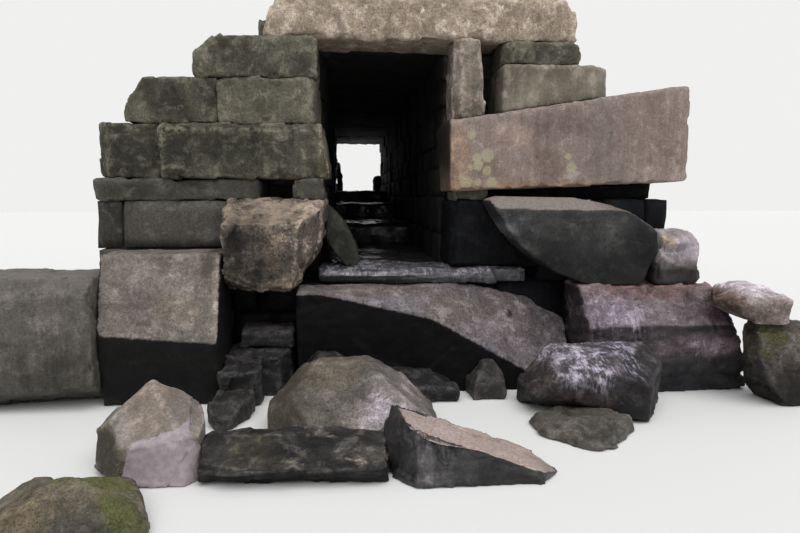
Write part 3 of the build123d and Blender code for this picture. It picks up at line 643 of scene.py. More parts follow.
def read_marks(tree):
    """Reads what roughen notes on a mesh, and finds where a face is turned to the sky."""
    place = add("TexCoord", tree=tree).outputs["Object"]
    labels = ("worn", "hollow", "tone", "skyward")
    notes = [add("Attribute", tree=tree, attribute_name=label).outputs["Fac"] for label in labels]
    scuff = between(grain(place, 24.0, 4, 0.7), 0.4, 0.62)
    turned = between(gained(scuff, SCUFF_SHIFT, notes[-1]), *LIT_TURN)
    return Marks(place, *notes, scuff, turned)


def bare_stone(look, marks):
    """Colour and relief of the stone itself, with its pale worn edges and dark hollows."""
    shades = {"Dark": opaque(look.dark), "Middle": opaque(look.middle), "Pale": opaque(look.pale)}
    stone = use_group(MOTTLED, Place=marks.place, Tone=marks.tone, Speckle=look.speckle, **shades)
    edge = times(times(marks.worn, look.worn), marks.scuff)
    colour = blend(edge, stone["Color"], opaque(look.pale, WORN_PALE))
    hollow = times(marks.hollow, look.hollow)
    return blend(hollow, colour, opaque(look.dark, HOLLOW_DARK)), stone["Height"]


def shaded_and_streaked(look, marks, colour, height):
    """Adds painted shade on what isn't turned to the sky and on a dark foot, with level layers and run marks.
    """
    if look.face_shade < 1.0:
        colour = scaled(colour, gained(marks.turned, 1.0 - look.face_shade, look.face_shade))
    if look.beds > 0.0:
        layers = use_group(BEDDING, Place=marks.place, Strength=look.beds)
        colour = scaled(colour, layers["Gain"])
        height = gained(layers["Height"], 2.0 * look.beds, height)
    if look.runs > 0.0:
        runs = use_group(RUNS, Place=marks.place, Strength=look.runs)
        colour = scaled(colour, runs["Gain"])
    if look.foot_shade < 1.0:
        colour = scaled(colour, foot_shade(marks.place, *look.foot, look.foot_shade))
    return colour, height


def dust_and_skylight(look, marks, colour):
    """Adds pale dust and painted skylight where a face is turned to the sky."""
    clouds = grain(marks.place, 6.5, 6, 0.7)
    lit_dust = between(clouds, look.skylit_from, look.skylit_from + LIT_DUST_FADE)
    upper = between(marks.skyward, *look.skylit_turn)
    share = times(times(upper, lit_dust), look.skylit)
    grit = between(grain(marks.place, 60.0, 4, 0.75), 0.3, 0.7)
    lit_dusty = blend(grit, *(opaque(look.skylit_colour, gain) for gain in LIT_DUST_GAINS))
    return blend(share, colour, lit_dusty)


def mossed(look, marks, colour, height):
    """Adds moss, which stands up a little."""
    growth = use_group(MOSS, Place=marks.place, Skyward=marks.skyward, Hollow=marks.hollow, Cover=look.moss)
    cover = growth["Mask"]
    if look.moss_spots:
        spots = disc_mask(marks.place, look.moss_spots, 14.0, 0.09, 0.03, look.view)
        spots = times(spots, between(growth["Tuft"], 0.4, 0.52))
        cover = maths("MAXIMUM", cover, times(spots, MOSS_SPOT_COVER))
    green = blend(growth["Tuft"], *(opaque(look.moss_colour, gain) for gain in TUFT_GAINS))
    height = gained(times(cover, growth["Tuft"]), MOSS_HEIGHT, height)
    return blend(times(cover, MOSS_COVER), colour, green), height


def crusted(look, marks, colour):
    """Adds scattered crusts, and larger ones at chosen places."""
    if look.lichen > 0.0:
        crust = use_group(LICHEN, Place=marks.place, Scale=LICHEN_SCALE, Cover=look.lichen)["Mask"]
        colour = blend(crust, colour, opaque(look.lichen_colour))
    if look.crusts:
        crust = disc_mask(marks.place, look.crusts, 55.0, 0.03, 0.007)
        crumbs = between(grain(marks.place, 75.0, 4, 0.75), 0.26, 0.5)
        flakes = between(grain(marks.place, 150.0, 3, 0.7), 0.35, 0.65)
        crust = times(times(crust, crumbs), CRUST_COVER)
        crust_colour = blend(flakes, *(opaque(look.lichen_colour, gain) for gain in CRUST_GAINS))
        colour = blend(crust, colour, crust_colour)
    return colour


def freshly_broken(look, marks, colour, height):
    """Adds a fresh break, which is paler and smoother than the weathered stone."""
    fresh = outline_mask(marks.place, look.fresh_break)
    clouds = between(grain(marks.place, 30.0, 5, 0.6), 0.3, 0.7)
    colour = blend(fresh, colour, blend(clouds, opaque(FRESH_DARK), opaque(FRESH_PALE)))
    return colour, times(height, gained(fresh, -FRESH_FLATTENS, 1.0))


def painted_shade_inside(look, marks, colour):
    """Paints shade on the faces that look into the barrel or its mouth."""
    shades = ((look.inner_shade, BARREL_SIDE, BARREL_DEPTHS), (look.end_shade, MOUTH_SIDE, MOUTH_DEPTHS))
    for least, side, depths in shades:
        if least < 1.0:
            colour = scaled(colour, barrel_shade(marks.place, side, depths, least))
    return colour


def wetted(look, marks, colour):
    """Darkens a stone where it is wet, and adds its painted glints. Gives the colour and how much it shines.
    """
    foot = use_group(DAMP, Place=marks.place, Level=look.level, Fade=DAMP_FADE, Hollow=marks.hollow)
    damp = maths("MAXIMUM", foot["Mask"], look.wet)
    colour = scaled(colour, gained(damp, -WET_DARKENS, 1.0))
    if look.glints > 0.0:
        sparks = use_group(GLINTS, Place=marks.place)["Mask"]
        where = marks.turned
        if look.sheen:
            where = disc_mask(marks.place, look.sheen, 5.0, 0.08, 0.09)
        sparks = times(times(sparks, where), look.glints)
        colour = blend(sparks, colour, opaque(look.glint_colour))
    shine = times(damp, between(grain(marks.place, 5.5, 5, 0.65), 0.36, 0.62))
    return colour, shine


def make_material(name, look):
    """A stone material from the shared groups and one finish's own values."""
    material = bpy.data.materials.new(name)
    material.use_nodes = True
    tree = material.node_tree
    tree.nodes.clear()
    marks = read_marks(tree)
    colour, bare_height = bare_stone(look, marks)
    colour, height = shaded_and_streaked(look, marks, colour, bare_height)
    if look.skylit > 0.0:
        colour = dust_and_skylight(look, marks, colour)
    if look.tones:
        colour = paint_tints_and_light(marks.place, colour, look.tones, look.view)
    if look.moss > 0.0 or look.moss_spots:
        colour, height = mossed(look, marks, colour, height)
    colour = crusted(look, marks, colour)
    if look.fresh_break:
        colour, height = freshly_broken(look, marks, colour, height)
    colour = painted_shade_inside(look, marks, colour)
    colour, shine = wetted(look, marks, colour)
    dry = gained(bare_height, -0.12, DRY_ROUGHNESS)
    roughness = add("Math", {0: shine, 1: -WET_SMOOTHS, 2: dry}, operation="MULTIPLY_ADD")
    roughness.use_clamp = True
    bump = add("Bump", {"Height": height, "Distance": look.relief, "Strength": BUMP_STRENGTH})
    inputs = {
        "Base Color": colour,
        "Roughness": roughness.outputs[0],
        "Specular IOR Level": look.gloss,
        "Coat Weight": times(shine, 0.5 * min(1.0, 2.0 * look.gloss)),
        "Coat Roughness": WET_COAT_ROUGHNESS,
        "Normal": bump.outputs[0],
    }
    shader = add("BsdfPrincipled", inputs)
    add("OutputMaterial", {"Surface": shader.outputs[0]})
    return material


FINISHES = {
    "long_block": Finish(
        "lichened_stone", (0.105, 0.078, 0.064), (0.22, 0.172, 0.15), (0.325, 0.265, 0.24),
        speckle=0.42, runs=0.32, lichen_colour=(0.42, 0.385, 0.25), skylit=0.3, worn=0.5, hollow=0.5,
        crusts=LONG_BLOCK_CRUSTS, relief=0.005, end_shade=0.06, tones=LONG_BLOCK_TONES,
    ),
    "lintel": Finish(
        "pinkish_stone", (0.3, 0.232, 0.175), (0.56, 0.452, 0.355), (0.74, 0.62, 0.5),
        speckle=0.7, skylit=0.3, moss=0.2, runs=0.22, gloss=0.5,
    ),
    "flat_grey": Finish(
        "grey_stone", (0.13, 0.115, 0.086), (0.24, 0.21, 0.162), (0.35, 0.31, 0.245),
        speckle=0.3, runs=0.4, moss=0.3, relief=0.003,
    ),
    "upright": Finish(
        "lichened_stone", (0.115, 0.096, 0.07), (0.3, 0.243, 0.195), (0.52, 0.43, 0.38),
        runs=0.3, moss=0.35, gloss=0.5,
    ),
    "warm_rough": Finish(
        "rough_stone", (0.022, 0.018, 0.014), (0.08, 0.067, 0.056), (0.26, 0.222, 0.186),
        speckle=1.0, skylit=1.0, skylit_colour=(0.34, 0.262, 0.204), lichen=0.1, worn=0.85, runs=0.42,
        relief=0.012, gloss=0.3, tones=ROUGH_BLOCK_TONES,
    ),
    "dark_green": Finish(
        "lichened_stone", (0.028, 0.026, 0.018), (0.088, 0.082, 0.058), (0.19, 0.176, 0.13),
        speckle=0.7, moss=0.25, lichen=0.15, runs=0.3, worn=0.6, tones=LEFT_BLOCK_TONES,
    ),
    "pinner": Finish(
        "lichened_stone", (0.028, 0.026, 0.02), (0.062, 0.059, 0.047), (0.12, 0.114, 0.093),
        runs=0.15, worn=0.5,
    ),
    "shadowed": Finish(
        "dark_stone", (0.005, 0.005, 0.0056), (0.02, 0.019, 0.0195), (0.08, 0.073, 0.07),
        speckle=0.9, wet=0.4, moss=0.08, gloss=0.25, worn=0.6,
    ),
    "toe": Finish(
        "dark_stone", (0.012, 0.011, 0.0105), (0.032, 0.0295, 0.0275), (0.09, 0.083, 0.078),
        speckle=0.8, wet=0.4, moss=0.1, gloss=0.25, worn=0.6,
    ),
    # Painted shade: near-black stones for recesses and joints that lie deep in shade
    "shaded_recess": Finish(
        "dark_stone", (0.002, 0.0024, 0.0034), (0.0052, 0.006, 0.008), (0.013, 0.0135, 0.0155),
        speckle=0.6, wet=0.15, gloss=0.15, runs=0.2,
    ),
    "wing": Finish(
        "grey_stone", (0.185, 0.158, 0.14), (0.31, 0.268, 0.24), (0.395, 0.345, 0.313),
        speckle=0.6, face_shade=0.032, runs=0.22, level=0.05, skylit=0.2, relief=0.005, gloss=0.2,
        tones=WING_TONES,
    ),
    "wing_end": Finish(
        "grey_stone", (0.042, 0.039, 0.034), (0.09, 0.083, 0.073), (0.165, 0.151, 0.134),
        runs=0.42, level=0.12, moss=0.1, skylit=0.6, skylit_colour=(0.17, 0.15, 0.127), foot_shade=0.7,
        foot=(0.1, 0.6), tones=END_BLOCK_TONES,
    ),
    "curved": Finish(
        "dark_stone", (0.02, 0.021, 0.0208), (0.044, 0.0447, 0.0443), (0.082, 0.081, 0.078),
        skylit=1.0, skylit_colour=(0.24, 0.203, 0.186), skylit_from=0.05, worn=0.25, wet=0.1, relief=0.004,
        lichen=0.05, foot_shade=0.3, foot=(0.93, 1.3), gloss=0.25, beds=0.15, runs=0.1,
        tones=CURVED_STONE_TONES,
    ),
    "leaning": Finish(
        "dark_stone", (0.012, 0.0122, 0.0095), (0.028, 0.0282, 0.0232), (0.062, 0.061, 0.051),
        speckle=0.35, worn=0.3, wet=0.1, relief=0.003, gloss=0.25, runs=0.15,
    ),
    "sill": Finish(
        "wet_stone", (0.125, 0.107, 0.11), (0.232, 0.202, 0.212), (0.33, 0.29, 0.305),
        speckle=1.0, face_shade=0.02, wet=0.12, skylit=0.3, skylit_colour=(0.26, 0.225, 0.235), glints=0.15,
        gloss=0.14, runs=0.15, tones=SILL_TONES,
    ),
    "right_sill": Finish(
        "wet_stone", (0.045, 0.036, 0.038), (0.165, 0.132, 0.142), (0.35, 0.295, 0.325),
        speckle=0.8, face_shade=0.3, wet=0.55, relief=0.012, beds=0.35, glints=0.55,
        glint_colour=(0.56, 0.5, 0.6), sheen=RIGHT_SILL_SHEEN, foot_shade=0.4, foot=(0.05, 0.4),
        tones=RIGHT_SILL_TONES,
    ),
    "ledge": Finish(
        "wet_stone", (0.018, 0.018, 0.022), (0.08, 0.079, 0.09), (0.25, 0.24, 0.262),
        speckle=0.8, wet=0.85, relief=0.008, beds=0.45, glints=0.8, gloss=0.5,
    ),
    "pale": Finish(
        "pale_stone", (0.12, 0.1, 0.086), (0.215, 0.184, 0.164), (0.32, 0.277, 0.25),
        moss=0.22, worn=0.8, level=-0.3, fresh_break=FRESH_BREAK, moss_spots=PALE_BOULDER_MOSS,
        moss_colour=(0.026, 0.026, 0.013), tones=PALE_BOULDER_TONES,
    ),
    "wet_olive": Finish(
        "wet_stone", (0.024, 0.021, 0.0165), (0.092, 0.081, 0.068), (0.208, 0.186, 0.168),
        speckle=0.8, wet=0.35, moss=0.25, level=0.05, relief=0.008, glints=0.4, sheen=ROUND_BOULDER_SHEEN,
        glint_colour=(0.5, 0.46, 0.54), tones=ROUND_BOULDER_TONES, gloss=0.4, runs=0.15,
    ),
    "wet_grey": Finish(
        "wet_stone", (0.011, 0.0108, 0.0112), (0.022, 0.0216, 0.0222), (0.062, 0.058, 0.06),
        wet=0.3, level=0.02, worn=0.5, relief=0.004, skylit=1.0, skylit_from=0.15, skylit_turn=(0.55, 0.85),
        skylit_colour=(0.47, 0.37, 0.335), beds=0.2, glints=0.3, sheen=WEDGE_BOULDER_SHEEN, gloss=0.3,
        tones=WEDGE_BOULDER_TONES,
    ),
    "layered": Finish(
        "wet_stone", (0.009, 0.0086, 0.0088), (0.044, 0.041, 0.039), (0.15, 0.136, 0.126),
        speckle=0.7, wet=0.5, moss=0.05, relief=0.01, beds=0.7, foot_shade=0.22, foot=(0.03, 0.12),
        gloss=0.25, tones=FLAT_LEDGE_TONES,
    ),
    "streaky_wet": Finish(
        "wet_stone", (0.022, 0.02, 0.02), (0.062, 0.055, 0.055), (0.15, 0.134, 0.142),
        speckle=0.8, wet=0.4, face_shade=0.7, relief=0.01, glints=0.9, glint_colour=(0.75, 0.7, 0.85),
        sheen=FALL_SHEEN, foot_shade=0.14, foot=(0.05, 0.2), tones=FALL_BOULDER_TONES, runs=0.4, gloss=0.3,
    ),
    "mossy": Finish(
        "rough_stone", (0.032, 0.027, 0.019), (0.105, 0.089, 0.063), (0.215, 0.184, 0.136),
        speckle=0.8, moss=0.15, moss_spots=MOSS_BOULDER_MOSS, moss_colour=(0.12, 0.14, 0.026), level=0.05,
        relief=0.01, tones=MOSS_BOULDER_TONES, view=TOP,
    ),
    "bank_mossy": Finish(
        "rough_stone", (0.026, 0.022, 0.019), (0.08, 0.07, 0.06), (0.18, 0.158, 0.138),
        speckle=0.7, moss=0.3, relief=0.009, moss_spots=BANK_MOSS, moss_colour=(0.095, 0.09, 0.028),
        foot_shade=0.3, foot=(0.08, 0.4),
    ),
    "bank_pale": Finish(
        "pale_stone", (0.15, 0.13, 0.13), (0.34, 0.305, 0.315), (0.46, 0.415, 0.43),
        speckle=0.4, moss=0.3, relief=0.005, foot_shade=0.1, foot=(0.9, 1.0), tones=BANK_UPPER_TONES,
    ),
    "bank_brown": Finish(
        "rough_stone", (0.13, 0.098, 0.09), (0.38, 0.325, 0.318), (0.6, 0.535, 0.55),
        speckle=0.8, moss=0.2, relief=0.007, gloss=0.4, tones=BANK_CAP_TONES,
    ),
    "rubble": Finish(
        "dark_stone", (0.026, 0.024, 0.021), (0.066, 0.061, 0.053), (0.12, 0.112, 0.1),
        speckle=0.6, moss=0.15, runs=0.15, inner_shade=0.14, relief=0.008,
    ),
    # Painted shade as well as wetness: the barrel's floor and steps are made near black because they lie in
    # its shade
    "bed": Finish(
        "dark_stone", (0.006, 0.006, 0.0065), (0.016, 0.0155, 0.016), (0.045, 0.043, 0.042),
        wet=0.8, gloss=0.5,
    ),
    "roof": Finish(
        "dark_stone", (0.04, 0.036, 0.031), (0.1, 0.09, 0.078), (0.17, 0.155, 0.135),
        speckle=0.6, moss=0.2, inner_shade=0.12, relief=0.008,
    ),
}
MATERIALS = {name: make_material(name, look) for name, look in FINISHES.items()}


# Stone shapes


@dataclass
class Cut:
    """How a stone is broken and worn. Lengths are in metres."""

    finish: str
    # Size of the net of faces, and how far swells, facets, grit, chips and level layers move the surface
    voxel: float = 0.018
    swell: float = 0.01
    facet: float = 0.1
    facet_scale: float = 4.5
    grit: float = 0.004
    chips: float = 0.03
    strata: float = 0.0
    strata_count: float = 11.0
    # How many corners are broken off, and how often the net and its turn to the sky are evened out
    knocks: int = 4
    soften: int = 2
    turn_soften: int = 3
    # Dents, or bulges where the depth is below 0: across, back, up, radius and depth
    dents: tuple = ()
    # Where joints gape across the stone
    joints: tuple = ()


def merged_copy(node):
    """A bmesh of a node's mesh, with its loose triangles joined into flat faces."""
    bm = bmesh.new()
    bm.from_mesh(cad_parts[node].data)
    bmesh.ops.remove_doubles(bm, verts=bm.verts[:], dist=MERGE_REACH)
    bmesh.ops.dissolve_limit(bm, angle_limit=FLAT_ANGLE, verts=bm.verts[:], edges=bm.edges[:])
    return bm


def knock_corners(bm, count, draw):
    """Breaks a few corners off a convex stone."""
    for _ in range(count):
        sharp = [v for v in bm.verts if all(v.normal.dot(f.normal) < CORNER_SHARPNESS for f in v.link_faces)]
        if not sharp:
            return
        corner = draw.choice(sharp)
        lean = Vector([draw.uniform(-KNOCK_LEAN, KNOCK_LEAN) for _ in range(3)])
        outward = (corner.normal + lean).normalized()
        depth = draw.uniform(*KNOCK_DEPTHS)
        cut = bmesh.ops.bisect_plane(
            bm,
            geom=bm.verts[:] + bm.edges[:] + bm.faces[:],
            dist=PLANE_REACH,
            plane_co=corner.co - outward * depth,
            plane_no=outward,
            clear_outer=True,
        )
        rim = [e for e in cut["geom_cut"] if isinstance(e, bmesh.types.BMEdge)]
        bmesh.ops.edgeloop_fill(bm, edges=rim)
        bm.normal_update()


def edge_tree(bm):
    """Points along the sharp edges of a stone, for measuring how far a place is from an edge."""
    points = []
    for edge in bm.edges:
        if len(edge.link_faces) == 2 and edge.calc_face_angle(0.0) > SHARP_ANGLE:
            first, last = (v.co for v in edge.verts)
            steps = max(2, int((last - first).length / EDGE_SAMPLE))
            points += [first.lerp(last, i / steps) for i in range(steps + 1)]
    tree = KDTree(len(points))
    for number, point in enumerate(points):
        tree.insert(point, number)
    tree.balance()
    return tree


def remeshed(bm, name, voxel, soften):
    """A piece with an even net of faces over a stone's outer surface, worn round by softening."""
    mesh = bpy.data.meshes.new(name)
    bm.to_mesh(mesh)
    piece = placed(name, mesh)
    modifier = piece.modifiers.new("net", "REMESH")
    modifier.mode = "VOXEL"
    modifier.voxel_size = voxel
    wear = piece.modifiers.new("wear", "SMOOTH")
    wear.iterations = soften
    graph = bpy.context.evaluated_depsgraph_get()
    netted = bpy.data.meshes.new_from_object(piece.evaluated_get(graph))
    piece.modifiers.clear()
    piece.data = netted
    bpy.data.meshes.remove(mesh)
    return piece


def smoothed(mesh, values, rounds):
    """Values of a mesh's points, evened out with their neighbours'."""
    ends = np.empty(len(mesh.edges) * 2, int)
    mesh.edges.foreach_get("vertices", ends)
    first, last = ends[0::2], ends[1::2]
    values = np.array(values)
    links = np.bincount(ends, minlength=len(values))
    for _ in range(rounds):
        total = np.bincount(first, values[last], len(values)) + np.bincount(last, values[first], len(values))
        values = (values + total) / (1 + links)
    return values.tolist()


def roughen(piece, cut, seed, edges, faces):
    """Moves the surface as breaking and weather would, and notes how worn and hollow it is."""
    mesh = piece.data
    shift = Vector([seed * step % SEED_SPAN for step in SEED_STEPS])
    notes = {key: [0.0] * len(mesh.vertices) for key in ("worn", "hollow", "skyward")}
    normals = [v.normal.copy() for v in mesh.vertices]
    for index, (vertex, normal) in enumerate(zip(mesh.vertices, normals)):
        here = vertex.co.copy()
        place = here + shift
        near = max(0.0, 1.0 - edges.find(here)[2] / EDGE_REACH)
        points = noise.voronoi(place * cut.facet_scale)[1]
        lean = noise.cell_vector(points[0] * 7.3)
        facet = lean.dot(place - points[0] / cut.facet_scale) * cut.facet
        swell = noise.noise(place * SWELLS) * cut.swell
        grit = noise.fractal(place * GRITS, 0.9, 2.1, 4) * cut.grit
        chip = max(0.0, noise.fractal(place * CHIPS, 0.8, 2.0, 2) + 0.18) * cut.chips * near * near
        layer = 0.0
        if cut.strata > 0.0:
            turn = place.z * cut.strata_count + noise.noise(place * LAYER_BENDS) * LAYER_BEND
            layer = (abs((turn % 1.0) - 0.5) * 2.0 - 0.6) * cut.strata
        offset = facet + swell + grit - chip + layer
        for across, back, up, radius, depth in cut.dents:
            away = (here - Vector((across, back, up))).length / radius
            offset -= depth * max(0.0, 1.0 - away * away) ** 2
        gape = max([0.0] + [1.0 - abs(here.y - joint) / ROOF_JOINT_WIDTH for joint in cut.joints])
        offset -= ROOF_JOINT_DEPTH * gape * gape
        moved = here + normal * offset
        moved.z = max(moved.z, 0.0)
        vertex.co = moved
        sunk = -(facet + grit * 2.0 + layer) / HOLLOW_DEPTH
        notes["worn"][index] = min(1.0, near * near * EDGE_WEAR)
        notes["hollow"][index] = min(1.0, max(0.0, sunk) + 2.0 * gape)
        notes["skyward"][index] = faces.find_nearest(here)[1].z
    notes["skyward"] = smoothed(mesh, notes["skyward"], cut.turn_soften)
    notes["tone"] = [random.Random(seed).uniform(-1.0, 1.0)] * len(mesh.vertices)
    for key, values in notes.items():
        mesh.attributes.new(key, "FLOAT", "POINT").data.foreach_set("value", values)
    mesh.shade_smooth()


def dress(piece, finish, *nodes):
    """Gives a piece its material, ties it to the frame and hides what it stands for."""
    piece.data.materials.clear()
    piece.data.materials.append(MATERIALS[finish])
    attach(piece, "root")
    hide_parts(*nodes)


def make_stone(node, cut, seed):
    """A rough stone over the solid of one node."""
    bm = merged_copy(node)
    knock_corners(bm, cut.knocks, random.Random(seed * 31))
    edges = edge_tree(bm)
    faces = BVHTree.FromBMesh(bm)
    piece = remeshed(bm, "rough_" + node, cut.voxel, cut.soften)
    bm.free()
    roughen(piece, cut, seed, edges, faces)
    dress(piece, cut.finish, node)


def lay_block(bm, low, high):
    """One roughly squared block of rubble walling."""
    made = bmesh.ops.create_cube(bm, size=1.0)["verts"]
    size = high - low
    bmesh.ops.scale(bm, vec=size, verts=made)
    bmesh.ops.translate(bm, vec=(low + high) / 2, verts=made)
    edges = {e for v in made for e in v.link_edges}
    bmesh.ops.subdivide_edges(bm, edges=list(edges), cuts=BLOCK_CUTS, use_grid_fill=True)


def cut_up(draw, start, end, bounds, smallest, offset=False):
    """Cuts a length into uneven steps, one by one, without a small rest. With offset the first is shorter."""
    while start < end - 0.01:
        step = draw.uniform(*bounds)
        if offset:
            step *= draw.uniform(*FIRST_BLOCK_SHARES)
            offset = False
        stop = start + step
        if end - stop < bounds[0] * smallest:
            stop = end
        yield start, stop
        start = stop


def lay_courses(node, seed, along, course, length):
    """Rubble in level courses that fills the box of a plain wall node."""
    low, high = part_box(node)
    draw = random.Random(seed)
    bm = bmesh.new()
    across = 1 - along
    for floor, top in cut_up(draw, low.z, high.z, course, SMALLEST_COURSE):
        for start, end in cut_up(draw, low[along], high[along], length, SMALLEST_BLOCK, offset=True):
            block_low = low.copy()
            block_high = high.copy()
            block_low[along] = start + WALL_JOINT / 2
            block_high[along] = end - WALL_JOINT / 2
            block_low.z = floor + WALL_JOINT / 2 if floor > low.z else floor
            block_high.z = top - WALL_JOINT / 2 if top < high.z else top
            block_low[across] += draw.uniform(*FACE_SHIFTS)
            block_high[across] -= draw.uniform(*FACE_SHIFTS)
            lay_block(bm, block_low, block_high)
    name = "coursed_" + node
    mesh = bpy.data.meshes.new(name)
    bm.to_mesh(mesh)
    bm.free()
    return placed(name, mesh)


def weather_blocks(piece, seed, low, high):
    """Rounds and roughens laid blocks one by one, gives each its own tone, and packs their joints."""
    mesh = piece.data
    bm = bmesh.new()
    bm.from_mesh(mesh)
    axes = {"use_axis_x": True, "use_axis_y": True, "use_axis_z": True}
    bmesh.ops.smooth_vert(bm, verts=bm.verts[:], factor=BLOCK_ROUNDING, **axes)
    bm.normal_update()
    labels = {k: bm.verts.layers.float.new(k) for k in ("worn", "hollow", "tone", "skyward")}
    draw = random.Random(seed + 5)
    # The blocks were laid one after another, each with the same number of points
    bm.verts.ensure_lookup_table()
    for start in range(0, len(bm.verts), BLOCK_POINTS):
        tone = draw.uniform(-1.0, 1.0)
        shift = Vector([draw.uniform(0, 50) for _ in range(3)])
        for vertex in bm.verts[start:start + BLOCK_POINTS]:
            place = vertex.co + shift
            bump = noise.noise(place * BLOCK_SWELLS) * BLOCK_SWELL
            bump += noise.noise(place * BLOCK_GRITS) * BLOCK_GRIT
            vertex[labels["tone"]] = tone
            vertex[labels["skyward"]] = vertex.normal.z
            vertex[labels["hollow"]] = min(1.0, max(0.0, -bump / HOLLOW_DEPTH))
            vertex.co += vertex.normal * bump
            vertex.co.z = max(vertex.co.z, 0.0)
    fill = bmesh.ops.create_cube(bm, size=1.0)["verts"]
    bmesh.ops.scale(bm, vec=high - low - Vector((2, 2, 2)) * HEARTING_DEPTH, verts=fill)
    bmesh.ops.translate(bm, vec=(low + high) / 2, verts=fill)
    for vertex in fill:
        vertex[labels["hollow"]] = 1.0
        vertex[labels["tone"]] = -1.0
    bm.to_mesh(mesh)
    bm.free()
    mesh.shade_smooth()


def make_coursed(node, seed, finish, along, course, length):
    """A rubble wall over the solid of one plain node."""
    piece = lay_courses(node, seed, along, course, length)
    weather_blocks(piece, seed, *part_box(node))
    dress(piece, finish, node)


STONES = {
    "lintel": Cut("lintel", voxel=0.022, swell=0.02, facet=0.09, chips=0.05),
    "right_course_block": Cut(
        "long_block", voxel=0.016, swell=0.008, facet=0.03, facet_scale=3.0, chips=0.04, grit=0.003, soften=1
    ),
    "right_upper_block": Cut("flat_grey", swell=0.006, facet=0.02, chips=0.02),
    "right_upright": Cut("upright", facet=0.07),
    "right_packing": Cut("dark_green"),
    "right_pinner": Cut("pinner", voxel=0.012, facet=0.08),
    "right_wedge": Cut("shaded_recess", voxel=0.02, facet=0.03, knocks=0),
    "right_jamb_block": Cut("shaded_recess", facet=0.03, knocks=0, dents=((1.18, 0.32, 0.92, 0.14, -0.045),)),
    "curved_stone": Cut(
        "curved", voxel=0.015, facet=0.02, facet_scale=3.0, chips=0.015, grit=0.002, knocks=0, soften=3
    ),
    "left_bearing_block": Cut(
        "warm_rough", voxel=0.015, swell=0.02, facet=0.15, grit=0.009, chips=0.06, soften=4
    ),
    "left_pinner": Cut("pinner", voxel=0.012, facet=0.08, chips=0.02),
    "left_packing": Cut("pinner", voxel=0.025),
    "left_course_block": Cut("dark_green", swell=0.014, facet=0.08, chips=0.04),
    "left_end_block": Cut("dark_green", facet=0.09),
    **dict.fromkeys(
        ("left_upper_block", "left_back_block", "left_top_block"),
        Cut("dark_green", facet=0.09, chips=0.04),
    ),
    "sill": Cut("sill", voxel=0.016, swell=0.014, facet=0.04, facet_scale=3.0, grit=0.005, turn_soften=9),
    "ledge": Cut("ledge", voxel=0.015, facet=0.07, strata=0.006, strata_count=26.0),
    "right_sill_stone": Cut("right_sill", voxel=0.015, swell=0.02, facet=0.12, grit=0.008, strata=0.01),
    "wing_block": Cut("wing", voxel=0.016, facet=0.03, facet_scale=3.0, grit=0.005, turn_soften=6),
    "wing_end_block": Cut("wing_end", facet=0.05, chips=0.04),
    "round_boulder": Cut("wet_olive", voxel=0.013, swell=0.015, facet=0.05, chips=0.02, soften=35),
    "wedge_boulder": Cut(
        "wet_grey", voxel=0.01, swell=0.008, chips=0.02, grit=0.003, knocks=2, soften=1,
        dents=((0.12, -1.9, 0.2, 0.26, 0.05),)
    ),
    "flat_ledge": Cut("layered", voxel=0.011, facet=0.05, strata=0.014, strata_count=22.0, grit=0.005),
    "pale_boulder": Cut(
        "pale", voxel=0.01, swell=0.006, facet=0.05, chips=0.02, grit=0.002, knocks=1, soften=0
    ),
    "moss_boulder": Cut("mossy", voxel=0.014, swell=0.02, facet=0.07, grit=0.006, chips=0.04, soften=25),
    "fall_boulder": Cut("streaky_wet", voxel=0.013, swell=0.008, facet=0.05, grit=0.005),
    "low_boulder": Cut("wet_olive", voxel=0.012, facet=0.08, soften=12),
    "toe_boulder": Cut("toe", voxel=0.012, facet=0.08, soften=8),
    **dict.fromkeys(
        ("left_packing_stone", "right_packing_stone"),
        Cut("shadowed", voxel=0.014, facet=0.12),
    ),
    "footing_stone": Cut("shadowed", voxel=0.015, strata=0.008),
    "footing_cap": Cut("shadowed", voxel=0.013, strata=0.008),
    "toe_stone": Cut("shadowed", voxel=0.012, facet=0.12),
    "toe_slab": Cut("toe", voxel=0.011),
    "leaning_slab": Cut("leaning", voxel=0.011, facet=0.03, grit=0.003, chips=0.02, knocks=0, soften=1),
    "bank_upper_stone": Cut("bank_pale", voxel=0.013, swell=0.012, facet=0.09, chips=0.05, knocks=6),
    "bank_lower_stone": Cut("bank_mossy", voxel=0.013, swell=0.012),
    "bank_cap_stone": Cut("bank_brown", voxel=0.013, swell=0.012, facet=0.05, chips=0.05, soften=10),
    "mouth_bed": Cut("bed", voxel=0.035),
    "roof_slabs": Cut("roof", voxel=0.035, swell=0.02, facet=0.12, knocks=0, joints=ROOF_JOINTS),
    **{f"bed_step_{step}": Cut("bed", voxel=0.035, swell=0.02) for step in range(1, 5)},
    **dict.fromkeys(
        ("barrel_end_left_stone", "barrel_end_right_stone"),
        Cut("rubble", voxel=0.025, swell=0.02, facet=0.15),
    ),
}
for number, (node, cut) in enumerate(STONES.items(), start=1):
    make_stone(node, cut, number)

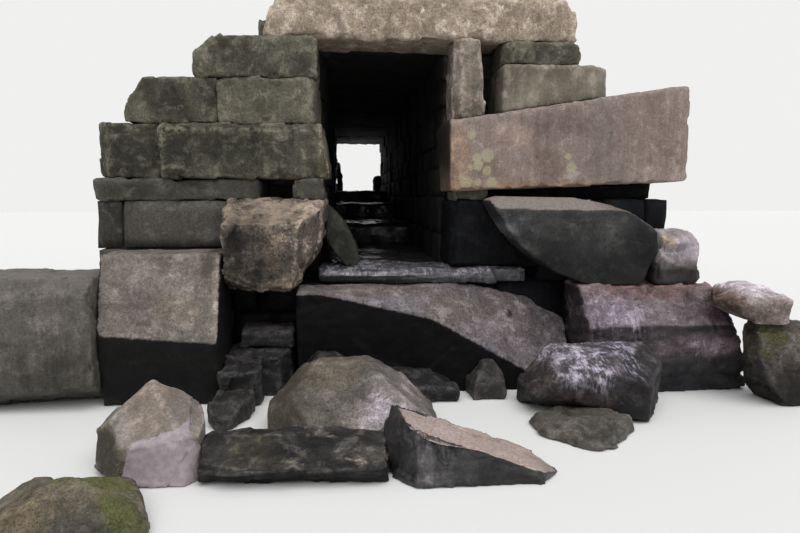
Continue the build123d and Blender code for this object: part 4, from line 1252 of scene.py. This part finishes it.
# Rubble walls: finish, the way the courses run, and the bounds of a block's height and length
ACROSS, ALONG = 0, 1
WALLS = {
    "barrel_left_wall": ("rubble", ALONG, (0.2, 0.4), (0.4, 1.0)),
    "barrel_right_wall": ("rubble", ALONG, (0.2, 0.4), (0.4, 1.0)),
    "left_wall_block": ("rubble", ACROSS, (0.28, 0.5), (0.4, 0.8)),
    "right_wall_block": ("shaded_recess", ACROSS, (0.25, 0.4), (0.3, 0.6)),
    "left_footing": ("shaded_recess", ACROSS, (0.25, 0.4), (0.35, 0.7)),
    "right_footing": ("shaded_recess", ACROSS, (0.25, 0.4), (0.4, 0.8)),
}
for number, (node, wall) in enumerate(WALLS.items(), start=201):
    make_coursed(node, number, *wall)


# Stage and light


def make_stage():
    """A pale floor that runs past the view."""
    bm = bmesh.new()
    bmesh.ops.create_grid(bm, x_segments=1, y_segments=1, size=FLOOR_SIZE)
    mesh = bpy.data.meshes.new("floor")
    bm.to_mesh(mesh)
    bm.free()
    floor = placed("floor", mesh)
    floor.location = (0.0, 0.0, -FLOOR_DROP)
    material = bpy.data.materials.new("floor")
    material.use_nodes = True
    shader = material.node_tree.nodes["Principled BSDF"]
    shader.inputs["Base Color"].default_value = opaque(FLOOR_COLOUR)
    shader.inputs["Roughness"].default_value = FLOOR_ROUGHNESS
    mesh.materials.append(material)


def light_world():
    """Even soft light, with a plain pale background for the camera and for reflections."""
    world = bpy.data.worlds.new("studio")
    bpy.context.scene.world = world
    world.use_nodes = True
    tree = world.node_tree
    tree.nodes.clear()
    path = add("LightPath", tree=tree)
    soft = add("Background", {"Color": opaque(SKY_COLOUR), "Strength": SKY_STRENGTH}, tree)
    plain = add("Background", {"Color": opaque(BACKGROUND)}, tree)
    seen = maths("MAXIMUM", path.outputs["Is Camera Ray"], path.outputs["Is Transmission Ray"])
    seen = maths("MAXIMUM", seen, path.outputs["Is Glossy Ray"])
    mix = add("MixShader", {0: seen, 1: soft.outputs[0], 2: plain.outputs[0]})
    add("OutputWorld", {"Surface": mix.outputs[0]})


add_camera()
make_stage()
light_world()
add_sun("sky_lamp", direction=(-0.1, 0.6, -1.0), strength=2.2, spread=70.0)
add_sun("back_lamp", direction=(-0.4, -1.0, -0.8), strength=0.45, spread=90.0)
bpy.context.scene.view_settings.view_transform = "Standard"
